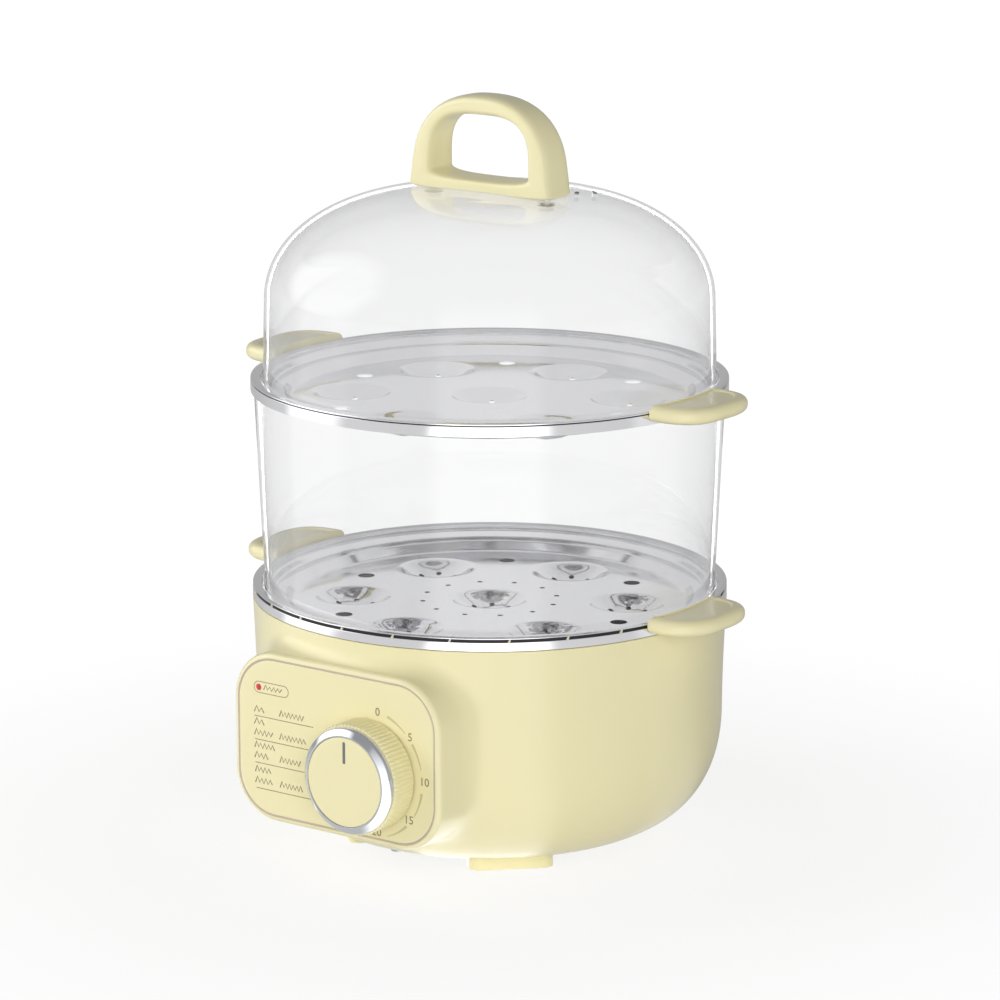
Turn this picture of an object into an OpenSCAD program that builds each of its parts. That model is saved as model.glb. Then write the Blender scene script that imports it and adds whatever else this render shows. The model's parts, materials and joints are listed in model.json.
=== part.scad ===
// Two-tier electric egg cooker.
// Origin: middle of the whole outline on the table, +Z up, control panel towards -Y, tray handles along X.

/* [Trays] */
// Outer diameter of a tray's rolled rim
tray_d = 220; // [212:1:232]
// Thickness of the tray steel
tray_wall = 0.7; // [0.5:0.1:0.9]
// Width of the flat brim of the rim
brim_w = 4.6; // [4:0.2:6]
// Width of the shelf that the ring or the lid stands on
shelf_w = 4.4; // [4:0.2:5.5]
// Width of the ledge between the shelf and the floor
ledge_w = 5.3; // [4:0.1:7]
// Depth of the tray floor below the rim line
tray_depth = 9; // [7:0.5:11]
// Height of the skirt that hangs from the rim
skirt_h = 5; // [4:0.5:6]
// Radius of the circle of outer egg seats
seat_circle_r = 64; // [60:1:66]
// Radius of an egg seat at the floor
seat_r = 17; // [15:0.5:19]
// Depth of an egg seat
seat_depth = 7; // [5:0.5:8]
// Diameter of the large steam holes between the seats
steam_hole_d = 8; // [5:0.5:9]
// Diameter of the small drain holes
drain_hole_d = 2.6; // [2:0.2:3.4]

/* [Tray handles] */
// How far a tray handle stands out from the rim
tab_reach = 22.5; // [16:0.5:26]
// Half the length of a tray handle along the rim
tab_half_l = 26.5; // [24:0.5:32]
// Thickness of a tray handle
tab_h = 7.6; // [7:0.2:9]
// height of a tray handle's top above the brim
tab_lift = 2.4; // [0:0.2:3]
// Thickness of the steel tongue inside a tray handle
tongue_t = 1; // [0.8:0.1:1.4]

/* [Tiers] */
// Height of the lower rim line above the table
rim_z = 119.6; // [118:0.2:128]
// Distance from the lower rim line to the upper one
tier_h = 96.8; // [90:0.2:120]
// Wall of the clear ring and of the mouth of the base
ring_wall = 2.4; // [2:0.1:2.6]
// Height gap left between pieces that stand on each other
stack_gap = 0.2; // [0.1:0.05:0.4]
// Play between the foot of the ring or the lid and the shelf round it
foot_play = 1; // [0.6:0.1:1.4]

/* [Lid] */
// Height of the lid above the upper rim line
lid_h = 87; // [80:0.5:100]
// Wall of the lid
lid_wall = 2.4; // [2:0.1:3]
// Height of the lid's upright part
lid_side_h = 37; // [25:1:45]
// Radius of the flat crown of the lid
crown_r = 30; // [26:1:34]
// Width of a steam vent in the lid
vent_w = 2.2; // [1.6:0.2:3]
// Length of a steam vent in the lid
vent_l = 5; // [4:0.5:7]

/* [Lid handle] */
// Half the length of the lid handle at its base
grip_half_l = 38; // [35:0.5:44]
// Height of the lid handle above the crown
grip_h = 43.5; // [40:0.5:52]
// Width of the lid handle at its base
grip_w = 20.5; // [17:0.5:24]
// Thickness of the legs of the lid handle
grip_leg_t = 10.5; // [9:0.5:12]
// Thickness of the top bar of the lid handle
grip_bar_t = 9.5; // [8:0.5:12]
// Thickness of the base bar of the lid handle
grip_sole_t = 6.5; // [5:0.5:8]
// Distance of each lid handle screw from the middle
grip_screw_x = 32; // [30:0.5:33]

/* [Base] */
// Wall of the moulded housing
shell_wall = 2.6; // [2:0.1:3]
// Height of the housing's shoulder, where it starts to round in
shoulder_z = 61.8; // [56:0.2:66]
// How much the housing narrows from its mouth to its shoulder
shell_draft = 1.7; // [0.5:0.1:3]
// Radius of the flat bottom of the housing
belly_flat_r = 60; // [54:1:66]
// Exponent of the superellipse that rounds the belly
belly_power = 2.3; // [2:0.05:2.8]
// Height of the housing's bottom above the table
foot_h = 6; // [5:0.5:8]
// Radius of the bottom cover
cover_r = 78; // [76:0.5:82]
// Length of a foot block along the rim
foot_l = 39; // [34:1:44]
// Width of a foot block
foot_w = 16; // [14:1:18]
// Distance of the foot blocks from the cover's edge to their middle
foot_inset = 17; // [15:1:20]

/* [Control panel] */
// Width of the housing's neck round the panel
neck_w = 117; // [112:1:124]
// Height of the housing's neck round the panel
neck_h = 79; // [76:1:81]
// Height of the panel's middle above the table
panel_z = 64; // [63:0.2:65]
// How far the panel stands in front of the shoulder
panel_proud = 8; // [7:0.5:12]
// Corner radius of the neck
neck_corner_r = 23; // [18:1:28]
// Rounding of the neck's front edge
lip_r = 2.4; // [1.5:0.1:2.4]
// Radius of the hollow that blends the neck into the belly
blend_r = 15; // [10:1:20]
// Thickness of the panel plate
plate_t = 2; // [1.5:0.1:2.5]
// Width of the seam frame round the panel plate
trim_w = 0.9; // [0.6:0.1:1.2]
// Width of the neck's lip from its edge to the seam frame
lip_w = 2.4; // [2.4:0.1:3]
// Distance of the lamp lens from the neck's left edge
lamp_inset = 14.6; // [12:0.1:18]
// Height of the lamp lens above the panel's middle
lamp_up = 22.7; // [18:0.1:24]

/* [Knob and timer] */
// Distance of the knob's axis right of the panel's middle
knob_x = 19.6; // [14:0.1:24]
// Height of the knob's axis above the table
knob_z = 57.5; // [55:0.1:58]
// Outer radius of the knob's fluted skirt
knob_r = 25.4; // [22:0.1:27]
// Height of the knob's disc in front of the panel
knob_h = 18.6; // [16:0.2:22]
// Gap between the knob's skirt and the panel
knob_gap = 0.8; // [0.5:0.1:1.5]
// Number of flutes on the knob's skirt
flute_count = 78; // [60:1:90]
// Depth of a flute
flute_depth = 0.35; // [0.2:0.05:0.6]
// Height of the bright bevel ring's side
bezel_side_h = 2.2; // [1.5:0.1:3]
// Height of the bright ring's bevel
bezel_rise = 2.4; // [1.6:0.1:3]
// Width of the bright ring's bevel
bezel_w = 3.9; // [3:0.1:5]
// Radius of the timer shaft
shaft_r = 3; // [2.5:0.1:3.2]
// Radial play of the timer shaft in the timer
shaft_play = 0.05; // [0.02:0.01:0.1]
// Side of the timer's square case
timer_side = 40; // [36:1:40]
// Depth of the timer's case
timer_depth = 18; // [14:0.5:20]

/* [Water pan and heater] */
// Depth of the water pan
pan_depth = 21; // [18:0.5:22]
// Thickness of the pan steel
pan_wall = 0.8; // [0.6:0.1:1]
// Distance of the pan's rim below the rim line
pan_drop = 14.7; // [14:0.1:16]
// Thickness of the silicone seal under the pan's rim
seal_t = 1.5; // [1:0.1:2]
// Thickness of the housing's ledge under the seal
ledge_t = 3; // [2.5:0.1:4]
// Radius of the heat spreader
spreader_r = 62; // [58:1:66]
// Thickness of the heat spreader
spreader_t = 5; // [4.5:0.1:6]
// Radius of the heating element's ring
coil_r = 48; // [44:1:50]
// Radius of the heating element's tube
coil_tube_r = 3.3; // [3:0.1:3.6]

/* [Cord inlet] */
// Height of the cord gland above the table
gland_z = 40; // [38:1:44]
// Radius of the cord gland's hole
gland_hole_r = 3.7; // [3:0.1:4]

/* [Hidden] */
$fn = 96;

rim_r = tray_d / 2;
brim_rise = 1.3; // brim above the rim line
shelf_drop = 0.9; // shelf below the rim line
shelf_r = rim_r - brim_w; // outer wall of the shelf
ledge_r = shelf_r - shelf_w;
ledge_drop = 4.6; // ledge below the rim line
wall_run = 3.2; // run of the sloping wall inside the ledge
floor_r = ledge_r - ledge_w - wall_run;
upper_z = rim_z + tier_h;
foot_ring_r = shelf_r - foot_play; // foot of the ring and of the lid
mouth_r = rim_r - 1.2; // mouth of the base and top of the ring
mouth_up = brim_rise - tray_wall - stack_gap; // mouth's edge above the rim line
skirt_r = rim_r + 0.1;
handle_screw_x = rim_r + 9;
handle_screw_y = 9; // half the pitch of the two screws of a tray handle
handle_bore_h = 4.4;
tongue_z = tab_lift - skirt_h; // underside of the tongues, below the rim line
tongue_l = 14; // reach of the steel tongue beyond the skirt
tongue_w = 28;
seat_sphere_r = (seat_r * seat_r + seat_depth * seat_depth) / (2 * seat_depth);

shell_r = skirt_r + 0.1;
shoulder_r = shell_r - shell_draft;
shell_top_z = rim_z - skirt_h - 0.3;
cover_play = 0.3;
cover_seat_z = belly_z(cover_r) + 1.6;
cover_t = 2.6;
cover_rim_r = cover_r - 14;
foot_r = cover_r - foot_inset;
cover_screw_r = cover_r - 7;
boss_r = 4.2;
boss_h = 14;
screw_r = 1.75;
head_r = 3.2;
head_h = 1.8;
pad_h = 2;
pad_proud = 0.4;

panel_y = -(shoulder_r + panel_proud);
recess_y = panel_y + plate_t;
pocket_y = recess_y + shell_wall;
trim_out_w = neck_w - 2 * lip_w;
trim_out_h = neck_h - 2 * lip_w;
trim_corner_r = neck_corner_r - lip_w;
lamp_x = neck_w / 2 - lamp_inset; // left of the panel's middle
slip = 0.05; // play round fixed screws, plates and pegs
small_screw_r = 1.5;

bezel_r = knob_r - 1;
disc_r = bezel_r - bezel_w;
skirt_front = knob_h - bezel_rise - bezel_side_h;
shaft_in = 12; // how deep the shaft reaches into the timer
bush_r = 5;
timer_screw_x = timer_side * 0.35;
bell_post_r = 2.5;
bell_r = 17;
bell_y = pocket_y + timer_depth + 8; // foot of the bell's side
lens_r = 1.5;
stem_r = 2.6;

pan_rim_z = rim_z - pan_drop;
pan_floor_z = pan_rim_z - pan_depth - pan_wall;
pan_under_z = pan_floor_z - pan_wall;
pan_rim_r = mouth_r - ring_wall - 0.9;
pan_throat_r = pan_rim_r - 8;
pan_floor_r = pan_throat_r - 11;
seal_z = pan_rim_z - pan_wall - seal_t;
ledge_in_r = pan_throat_r - 0.4;
stud_circle_r = pan_rim_r - 3.6;
stud_r = 1.9;
spreader_z = pan_under_z - spreader_t;
leg_turn = 15; // half the angle between the legs of the heating element
leg_h = 14;
stat_r = 8;
stat_h = 9;
stat_screw_x = 11;
fuse_y = -32;
fuse_r = 2;
fuse_l = 14;
fuse_wire_l = 40;
clip_screw_x = 6;
clip_screw_y = -26;
clip_screw_r = 1.2;

gland_face_y = shoulder_r - 1.1;
gland_in_y = gland_face_y - 8;
gland_thread_r = 5.5;
gland_flange_r = 9;
block_w = 34; // terminal block
block_d = 15;
block_h = 12;
block_y = 40;
pole_pitch = 11;

lid_foot_z = upper_z - shelf_drop + stack_gap;
lid_top_z = upper_z + lid_h;
lid_side_r = foot_ring_r - 1;
lid_power = 2.09; // exponent of the superellipse of the dome
crown_rise = 1; // rise of the crown inside its edge
vents = [[33.1, 22.1], [36, 31.9]]; // middles of the steam vents
grip_sole_z = lid_top_z - 1.5;
lid_screw_l = 15; // screws of the lid handle

// The trays' axis lies behind the middle of the whole outline, because the knob stands out in front
axis_y = (knob_h - panel_y - shell_r) / 2;

cream = [0.96, 0.92, 0.72];
steel = [0.8, 0.81, 0.83];
clear = [0.85, 0.9, 0.95, 0.35];

// The list read from its end
function back(p) = [for (i = [len(p) - 1 : -1 : 0]) p[i]];

// Unit normal on the left of the line from p to q
function side(p, q) = [p[1] - q[1], q[0] - p[0]] / norm(q - p);

// The path moved to its left by t, with mitred corners
function beside(p, t) = [for (i = [0 : len(p) - 1])
    let (n = len(p), a = side(p[max(i - 1, 0)], p[max(i, 1)]),
        b = side(p[min(i, n - 2)], p[min(i + 1, n - 1)]), m = a + b)
    p[i] + 2 * t * m / (m * m)];

// Power of a cosine or sine that keeps its sign
function keep_sign(x, e) = sign(x) * pow(abs(x), e);

// Quarter of a superellipse from its side (a0) towards its end (a1), about radius r0 and height z0
function quarter(r0, dr, z0, dz, e, a0, a1, n) = [for (i = [0 : n])
    let (a = a0 + (a1 - a0) * i / n)
    [r0 + dr * pow(max(cos(a), 0), 2 / e), z0 + dz * pow(max(sin(a), 0), 2 / e)]];

// Rounded rectangle as a ring of points at depth y: width w, height h, corner radius r
function ring_xz(w, h, r, y, zc, n) = [for (c = [0 : 3]) for (i = [0 : n])
    let (a = 90 * c + 90 * i / n, sx = (c == 0 || c == 3) ? 1 : -1, sz = c < 2 ? 1 : -1)
    [sx * (w / 2 - r) + r * cos(a), y, zc + sz * (h / 2 - r) + r * sin(a)]];

// Places what is drawn about the trays' axis in the object's frame
module on_axis() {
    translate([0, axis_y, 0]) children();
}

// Closed skin through rings of equal length, capped at both ends
module skin(rings, closed = false) {
    n = len(rings[0]);
    m = len(rings);
    wraps = closed ? m : m - 1;
    polyhedron(
        points = [for (r = rings) for (p = r) p],
        faces = concat(
            [for (j = [0 : wraps - 1]) for (i = [0 : n - 1])
                let (k = (j + 1) % m, l = (i + 1) % n) [j * n + i, k * n + i, j * n + l]],
            [for (j = [0 : wraps - 1]) for (i = [0 : n - 1])
                let (k = (j + 1) % m, l = (i + 1) % n) [j * n + l, k * n + i, k * n + l]],
            closed ? [] : [[for (i = [0 : n - 1]) i]],
            closed ? [] : [[for (i = [n - 1 : -1 : 0]) (m - 1) * n + i]]),
        convexity = 6);
}

// Sheet of thickness t under the turned path
module turned_sheet(path, t) {
    rotate_extrude() polygon(concat(path, back(beside(path, -t))));
}

// Straight plate with round corners, from z = 0 to z = t
module round_plate(w, h, r, t) {
    linear_extrude(t) {
        square([w - 2 * r, h], center = true);
        square([w, h - 2 * r], center = true);
        for (x = [-1, 1]) for (y = [-1, 1])
            translate([x * (w / 2 - r), y * (h / 2 - r)]) circle(r);
    }
}

// Straight slot with round ends, from z = 0 to z = t
module slot_plate(l, w, t) {
    linear_extrude(t) {
        square([l - w, w], center = true);
        for (x = [-1, 1]) translate([x * (l - w) / 2, 0]) circle(w / 2);
    }
}

// Places a plate drawn on XY upright, its back at depth y and its front t nearer to the viewer
module upright(x, y, z) {
    translate([x, y, z]) rotate([90, 0, 0]) children();
}

// Angle at which the belly, moved in by inset, has radius r
function belly_angle(inset, r) =
    acos(pow((r - belly_flat_r) / (shoulder_r - inset - belly_flat_r), belly_power / 2));

// Side of the belly, moved in by inset, from radius r0 out to radius r1
function belly(inset, r0, r1, n = 16) =
    quarter(belly_flat_r, shoulder_r - inset - belly_flat_r, shoulder_z,
        -(shoulder_z - foot_h - inset), belly_power, belly_angle(inset, r0), belly_angle(inset, r1), n);

// Height of the belly's outer side at radius r
function belly_z(r) =
    let (c = pow((r - belly_flat_r) / (shoulder_r - belly_flat_r), belly_power / 2))
    shoulder_z - (shoulder_z - foot_h) * pow(sqrt(1 - c * c), 2 / belly_power);

// Radius of the belly's inner side at height z
function belly_inner_r(z) =
    let (s = pow((shoulder_z - z) / (shoulder_z - foot_h - shell_wall), belly_power / 2))
    belly_flat_r + (shoulder_r - shell_wall - belly_flat_r) * pow(sqrt(1 - s * s), 2 / belly_power);

// Neck of the panel: a rounded lip, straight sides and a hollow blend into the belly
module neck_solid() {
    blend_y = -sqrt(pow(shoulder_r + blend_r, 2) - pow(neck_w / 2 + blend_r, 2));
    lip = [for (a = [0 : 30 : 90]) [panel_y + lip_r * (1 - cos(a)), lip_r * (sin(a) - 1)]];
    hollow = [for (a = [0 : 10 : 50]) [blend_y + blend_r * sin(a), blend_r * (1 - cos(a))]];
    tail = [[blend_y + 30, blend_r * (1 - cos(50))]];
    skin([for (s = back(concat(lip, hollow, tail)))
        ring_xz(neck_w + 2 * s[1], neck_h + 2 * s[1], neck_corner_r + s[1], s[0], panel_z, 8)]);
}

// Housing as one lump, with the step that the skirt of the lower tray covers
module shell_outside() {
    rotate_extrude() polygon(concat(
        [[0, foot_h + 0.5], [cover_r + cover_play - 2, foot_h + 0.5]],
        belly(0, cover_r + cover_play, shoulder_r),
        [[shell_r, shell_top_z], [mouth_r, shell_top_z], [mouth_r, rim_z + mouth_up],
            [0, rim_z + mouth_up]]));
    neck_solid();
}

// Hollow of the housing: the opening for the cover, the sill above it, the belly and the mouth
module shell_inside() {
    sill_top = cover_seat_z + 2.4;
    mouth_in = mouth_r - ring_wall;
    rotate_extrude() polygon(concat(
        [[0, 0], [cover_r + cover_play, 0], [cover_r + cover_play, cover_seat_z],
            [cover_rim_r + 1, cover_seat_z], [cover_rim_r + 1, sill_top]],
        belly(shell_wall, belly_inner_r(sill_top), shoulder_r - shell_wall),
        [[shoulder_r - shell_wall, seal_z - ledge_t], [ledge_in_r, seal_z - ledge_t],
            [ledge_in_r, seal_z], [mouth_in, seal_z], [mouth_in, rim_z + mouth_up + 1],
            [0, rim_z + mouth_up + 1]]));
    difference() {
        upright(0, -shoulder_r * 0.6, panel_z)
            round_plate(neck_w - 2 * shell_wall, neck_h - 2 * shell_wall,
                neck_corner_r - shell_wall, -pocket_y - shoulder_r * 0.6);
        // the ledge of the pan runs on over the pocket
        translate([0, 0, seal_z - ledge_t]) cylinder(h = ledge_t + 10, r = shell_r);
    }
}

module base_shell() {
    color(cream) on_axis() difference() {
        union() {
            difference() {
                shell_outside();
                shell_inside();
            }
            for (a = [0 : 90 : 270]) rotate([0, 0, a])
                translate([cover_screw_r, 0, cover_seat_z + 1]) cylinder(h = boss_h, r = boss_r);
            // flat seat of the cord gland
            translate([0, gland_in_y, gland_z]) rotate([-90, 0, 0])
                cylinder(h = gland_face_y - gland_in_y, r = gland_flange_r + 1);
            // tube that holds the neon lamp
            upright(-lamp_x, pocket_y + 8, panel_z + lamp_up) cylinder(h = 8.5, r = stem_r + 1.4);
        }
        // recess for the panel plate and its seam frame
        upright(0, recess_y, panel_z)
            round_plate(trim_out_w + 2 * slip, trim_out_h + 2 * slip, trim_corner_r + slip, plate_t + 1);
        upright(knob_x, pocket_y + 1, knob_z) cylinder(h = shell_wall + 2, r = bush_r + slip);
        for (s = [-1, 1]) upright(knob_x + s * timer_screw_x, pocket_y + 1, knob_z) {
            cylinder(h = shell_wall + 2, r = small_screw_r + 0.1);
            translate([0, 0, shell_wall - 0.5])
                cylinder(h = 1.5, r1 = small_screw_r + 0.1, r2 = small_screw_r + 1.6);
        }
        upright(-lamp_x, pocket_y + 9, panel_z + lamp_up)
            cylinder(h = shell_wall + 10, r = stem_r + slip);
        translate([0, gland_in_y - 1, gland_z]) rotate([-90, 0, 0])
            cylinder(h = gland_face_y - gland_in_y + 2, r = gland_thread_r + slip);
        translate([0, gland_face_y, gland_z]) rotate([-90, 0, 0])
            cylinder(h = gland_thread_r, r = gland_flange_r + 0.3);
        for (a = [0 : 90 : 270]) rotate([0, 0, a])
            translate([cover_screw_r, 0, cover_seat_z - 1]) cylinder(h = boss_h, r = screw_r + slip);
        for (a = [90 : 120 : 330]) rotate([0, 0, a])
            translate([stud_circle_r, 0, seal_z - ledge_t - 1]) cylinder(h = ledge_t + 2, r = stud_r + 0.3);
    }
}

module bottom_cover() {
    skirt = belly(0, belly_flat_r + 2, cover_r, 6);
    color(cream) on_axis() difference() {
        union() {
            rotate_extrude() polygon(concat(
                [[0, foot_h + cover_t], [0, foot_h], [belly_flat_r, foot_h]], skirt,
                [[cover_r, cover_seat_z], [cover_rim_r, cover_seat_z],
                    [cover_rim_r - 2, foot_h + cover_t]]));
            for (a = [45 : 90 : 315]) rotate([0, 0, a]) translate([foot_r, 0, pad_proud])
                round_plate(foot_w, foot_l, 5, foot_h + cover_t / 2 - pad_proud);
        }
        for (a = [45 : 90 : 315]) rotate([0, 0, a]) translate([foot_r, 0, -1])
            round_plate(foot_w - 7, foot_l - 9, 4, pad_h + 1);
        for (a = [0 : 90 : 270]) rotate([0, 0, a]) translate([cover_screw_r, 0, 0]) {
            cylinder(h = cover_seat_z + 1, r = screw_r + 0.15);
            cylinder(h = foot_h + head_h + 0.2, r = head_r + 0.4);
        }
        // ventilation slots
        for (a = [22.5 : 45 : 337.5]) rotate([0, 0, a]) translate([36, 0, foot_h - 1])
            slot_plate(20, 3, cover_t + 2);
    }
}

module foot_pads() {
    color([0.3, 0.3, 0.32]) on_axis()
    for (a = [45 : 90 : 315]) rotate([0, 0, a]) translate([foot_r, 0, 0])
        round_plate(foot_w - 7.2, foot_l - 9.2, 3.9, pad_h);
}

module cover_screws() {
    color(steel) on_axis() for (a = [0 : 90 : 270])
        rotate([0, 0, a]) translate([cover_screw_r, 0, foot_h + 0.2]) difference() {
            union() {
                cylinder(h = head_h, r = head_r);
                cylinder(h = head_h + 11, r = screw_r);
            }
            for (t = [0, 90]) rotate([0, 0, t]) translate([-2, -0.4, -1]) cube([4, 0.8, 2]);
        }
}

module heating_pan() {
    swell_r = spreader_r * 0.4;
    path = [[0, pan_floor_z + 0.6], [swell_r, pan_floor_z + 0.6], [swell_r + 3, pan_floor_z],
        [pan_floor_r - 2, pan_floor_z], [pan_floor_r + 1, pan_floor_z + 1.5],
        [pan_throat_r - 2, pan_rim_z - 3], [pan_throat_r, pan_rim_z], [pan_rim_r, pan_rim_z]];
    color(steel) on_axis() {
        turned_sheet(path, pan_wall);
        // pad that fills the swelling down to the heat spreader
        translate([0, 0, pan_under_z]) cylinder(h = pan_wall, r = swell_r + 4);
        for (a = [90 : 120 : 330]) rotate([0, 0, a]) translate([stud_circle_r, 0, seal_z - ledge_t - 5])
            cylinder(h = ledge_t + seal_t + 5.4, r = stud_r);
    }
}

module pan_seal() {
    color([0.9, 0.9, 0.88]) on_axis() translate([0, 0, seal_z]) difference() {
        cylinder(h = seal_t, r = pan_rim_r);
        translate([0, 0, -1]) cylinder(h = seal_t + 2, r = pan_throat_r + pan_wall);
        for (a = [90 : 120 : 330]) rotate([0, 0, a])
            translate([stud_circle_r, 0, -1]) cylinder(h = seal_t + 2, r = stud_r + slip);
    }
}

module pan_nuts() {
    color(steel) on_axis() for (a = [90 : 120 : 330]) rotate([0, 0, a])
        translate([stud_circle_r, 0, seal_z - ledge_t - 2.8]) difference() {
            cylinder(h = 2.8, r = 3.5, $fn = 6);
            translate([0, 0, -1]) cylinder(h = 5, r = stud_r + slip);
        }
}

module heat_spreader() {
    color([0.75, 0.76, 0.78]) on_axis() difference() {
        translate([0, 0, spreader_z]) cylinder(h = spreader_t, r = spreader_r);
        translate([0, 0, spreader_z]) rotate_extrude() translate([coil_r, 0]) circle(coil_tube_r + slip);
        for (s = [-1, 1]) rotate([0, 0, 90 + s * leg_turn]) translate([coil_r, 0, spreader_z - 1])
            cylinder(h = 1 + coil_tube_r / 2 + slip, r = coil_tube_r + slip);
        for (s = [-1, 1]) translate([s * stat_screw_x, 0, spreader_z - 1])
            cylinder(h = 4.5, r = small_screw_r + slip);
        for (s = [-1, 1]) translate([s * clip_screw_x, clip_screw_y, spreader_z - 1])
            cylinder(h = 4.5, r = clip_screw_r + slip);
    }
}

module heating_element() {
    color([0.55, 0.56, 0.58]) on_axis() {
        translate([0, 0, spreader_z]) rotate([0, 0, 90 + leg_turn])
            rotate_extrude(angle = 360 - 2 * leg_turn) translate([coil_r, 0]) circle(coil_tube_r);
        for (s = [-1, 1]) rotate([0, 0, 90 + s * leg_turn]) translate([coil_r, 0, spreader_z - leg_h]) {
            cylinder(h = leg_h + coil_tube_r / 2, r = coil_tube_r);
            translate([-0.5, -3, -9]) cube([1, 6, 10]);
        }
    }
}

module thermostat() {
    color([0.25, 0.25, 0.27]) on_axis() difference() {
        union() {
            translate([0, 0, spreader_z - stat_h]) cylinder(h = stat_h, r = stat_r);
            translate([-15, -5, spreader_z - 1]) cube([30, 10, 1]);
            for (s = [-1, 1]) translate([s * stat_r / 2 - 0.4, -3, spreader_z - stat_h - 9])
                cube([0.8, 6, 10]);
        }
        for (s = [-1, 1]) translate([s * stat_screw_x, 0, spreader_z - 2])
            cylinder(h = 3, r = small_screw_r + slip);
    }
}

module thermostat_screws() {
    color(steel) on_axis() for (s = [-1, 1]) translate([s * stat_screw_x, 0, spreader_z - 1]) {
        cylinder(h = 4.2, r = small_screw_r);
        translate([0, 0, -1.6]) cylinder(h = 1.6, r = 2.7);
    }
}

module thermal_fuse() {
    color([0.92, 0.9, 0.84]) on_axis()
        translate([0, fuse_y, spreader_z - fuse_r - 0.1]) rotate([0, 90, 0]) {
            cylinder(h = fuse_l, r = fuse_r, center = true);
            cylinder(h = fuse_wire_l, r = 0.5, center = true);
        }
}

// Strap over the fuse, with a foot held on the spreader by two rivets
module fuse_clip() {
    color(steel) on_axis() {
        difference() {
            translate([-clip_screw_x - 3, fuse_y + fuse_r + 0.1, spreader_z - 0.8])
                cube([2 * clip_screw_x + 6, 7, 0.8]);
            for (s = [-1, 1]) translate([s * clip_screw_x, clip_screw_y, spreader_z - 2])
                cylinder(h = 3, r = clip_screw_r);
        }
        for (s = [-1, 1]) translate([s * clip_screw_x, clip_screw_y, spreader_z - 2])
            cylinder(h = 4.8, r = clip_screw_r);
        translate([0, fuse_y, spreader_z - fuse_r - 0.1]) rotate([0, 90, 0]) difference() {
            cylinder(h = 8, r = fuse_r + 0.9, center = true);
            cylinder(h = 9, r = fuse_r + slip, center = true);
            translate([-4.1, -4, -5]) cube([2, 8, 10]);
        }
    }
}

module panel_plate() {
    color(cream) on_axis() difference() {
        upright(0, recess_y, panel_z) round_plate(trim_out_w - 2 * trim_w - 2 * slip,
            trim_out_h - 2 * trim_w - 2 * slip, trim_corner_r - trim_w - slip, plate_t);
        upright(knob_x, recess_y + 1, knob_z) cylinder(h = plate_t + 2, r = shaft_r + 0.6);
        upright(-lamp_x, recess_y + 1, panel_z + lamp_up) cylinder(h = plate_t + 2, r = lens_r + slip);
    }
}

module panel_trim() {
    color([0.78, 0.74, 0.72]) on_axis() upright(0, recess_y, panel_z) difference() {
        round_plate(trim_out_w, trim_out_h, trim_corner_r, plate_t);
        translate([0, 0, -1]) round_plate(trim_out_w - 2 * trim_w, trim_out_h - 2 * trim_w,
            trim_corner_r - trim_w, plate_t + 2);
    }
}

module lamp_lens() {
    color([0.9, 0.1, 0.12]) on_axis() {
        upright(-lamp_x, recess_y, panel_z + lamp_up) cylinder(h = plate_t, r = lens_r);
        upright(-lamp_x, pocket_y, panel_z + lamp_up) cylinder(h = shell_wall, r = stem_r);
    }
}

module neon_lamp() {
    color([0.95, 0.7, 0.5]) on_axis() upright(-lamp_x, pocket_y + 12, panel_z + lamp_up) {
        cylinder(h = 12, r = stem_r - 0.1);
        for (s = [-1, 1]) translate([s * 1.2, 0, -8]) cylinder(h = 9, r = 0.4);
    }
}

module timer_body() {
    color([0.7, 0.71, 0.73]) on_axis() difference() {
        union() {
            upright(knob_x, pocket_y + timer_depth, knob_z)
                round_plate(timer_side, timer_side, 3, timer_depth);
            upright(knob_x, pocket_y + 1, knob_z) cylinder(h = shell_wall + 1, r = bush_r);
            // post of the bell
            upright(knob_x, bell_y - 3, knob_z) cylinder(h = 6, r = bell_post_r);
        }
        upright(knob_x, pocket_y + shaft_in, knob_z)
            cylinder(h = shaft_in + shell_wall + 1, r = shaft_r + shaft_play);
        for (s = [-1, 1]) upright(knob_x + s * timer_screw_x, pocket_y + 8, knob_z)
            cylinder(h = 9, r = small_screw_r + slip);
    }
}

module timer_bell() {
    bell_path = [[bell_post_r + 0.1, 0.6], [bell_r - 5, 0.6], [bell_r - 1.5, 1.6], [bell_r, 4.2], [bell_r, 6]];
    color([0.82, 0.78, 0.6]) on_axis() upright(knob_x, bell_y, knob_z)
        union() {
            rotate_extrude() polygon(concat(bell_path, back(beside(bell_path, -0.6))));
            cylinder(h = 3, r = bell_post_r + 1.5);
        }
}

module timer_screws() {
    color(steel) on_axis() for (s = [-1, 1]) upright(knob_x + s * timer_screw_x, pocket_y + 6, knob_z) {
        cylinder(h = 6 + shell_wall - 1, r = small_screw_r);
        translate([0, 0, 6 + shell_wall - 1.5])
            cylinder(h = 1.4, r1 = small_screw_r, r2 = small_screw_r + 1.4);
    }
}

module terminal_block() {
    color([0.9, 0.9, 0.88]) on_axis() difference() {
        translate([-block_w / 2, block_y, foot_h + cover_t]) cube([block_w, block_d, block_h]);
        for (x = [-pole_pitch, 0, pole_pitch]) {
            translate([x, block_y - 1, foot_h + cover_t + 5]) rotate([-90, 0, 0])
                cylinder(h = block_d + 2, r = 1.8);
            for (y = [4, block_d - 4]) translate([x, block_y + y, foot_h + cover_t + 5])
                cylinder(h = block_h - 4, r = 1.6);
        }
    }
}

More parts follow.
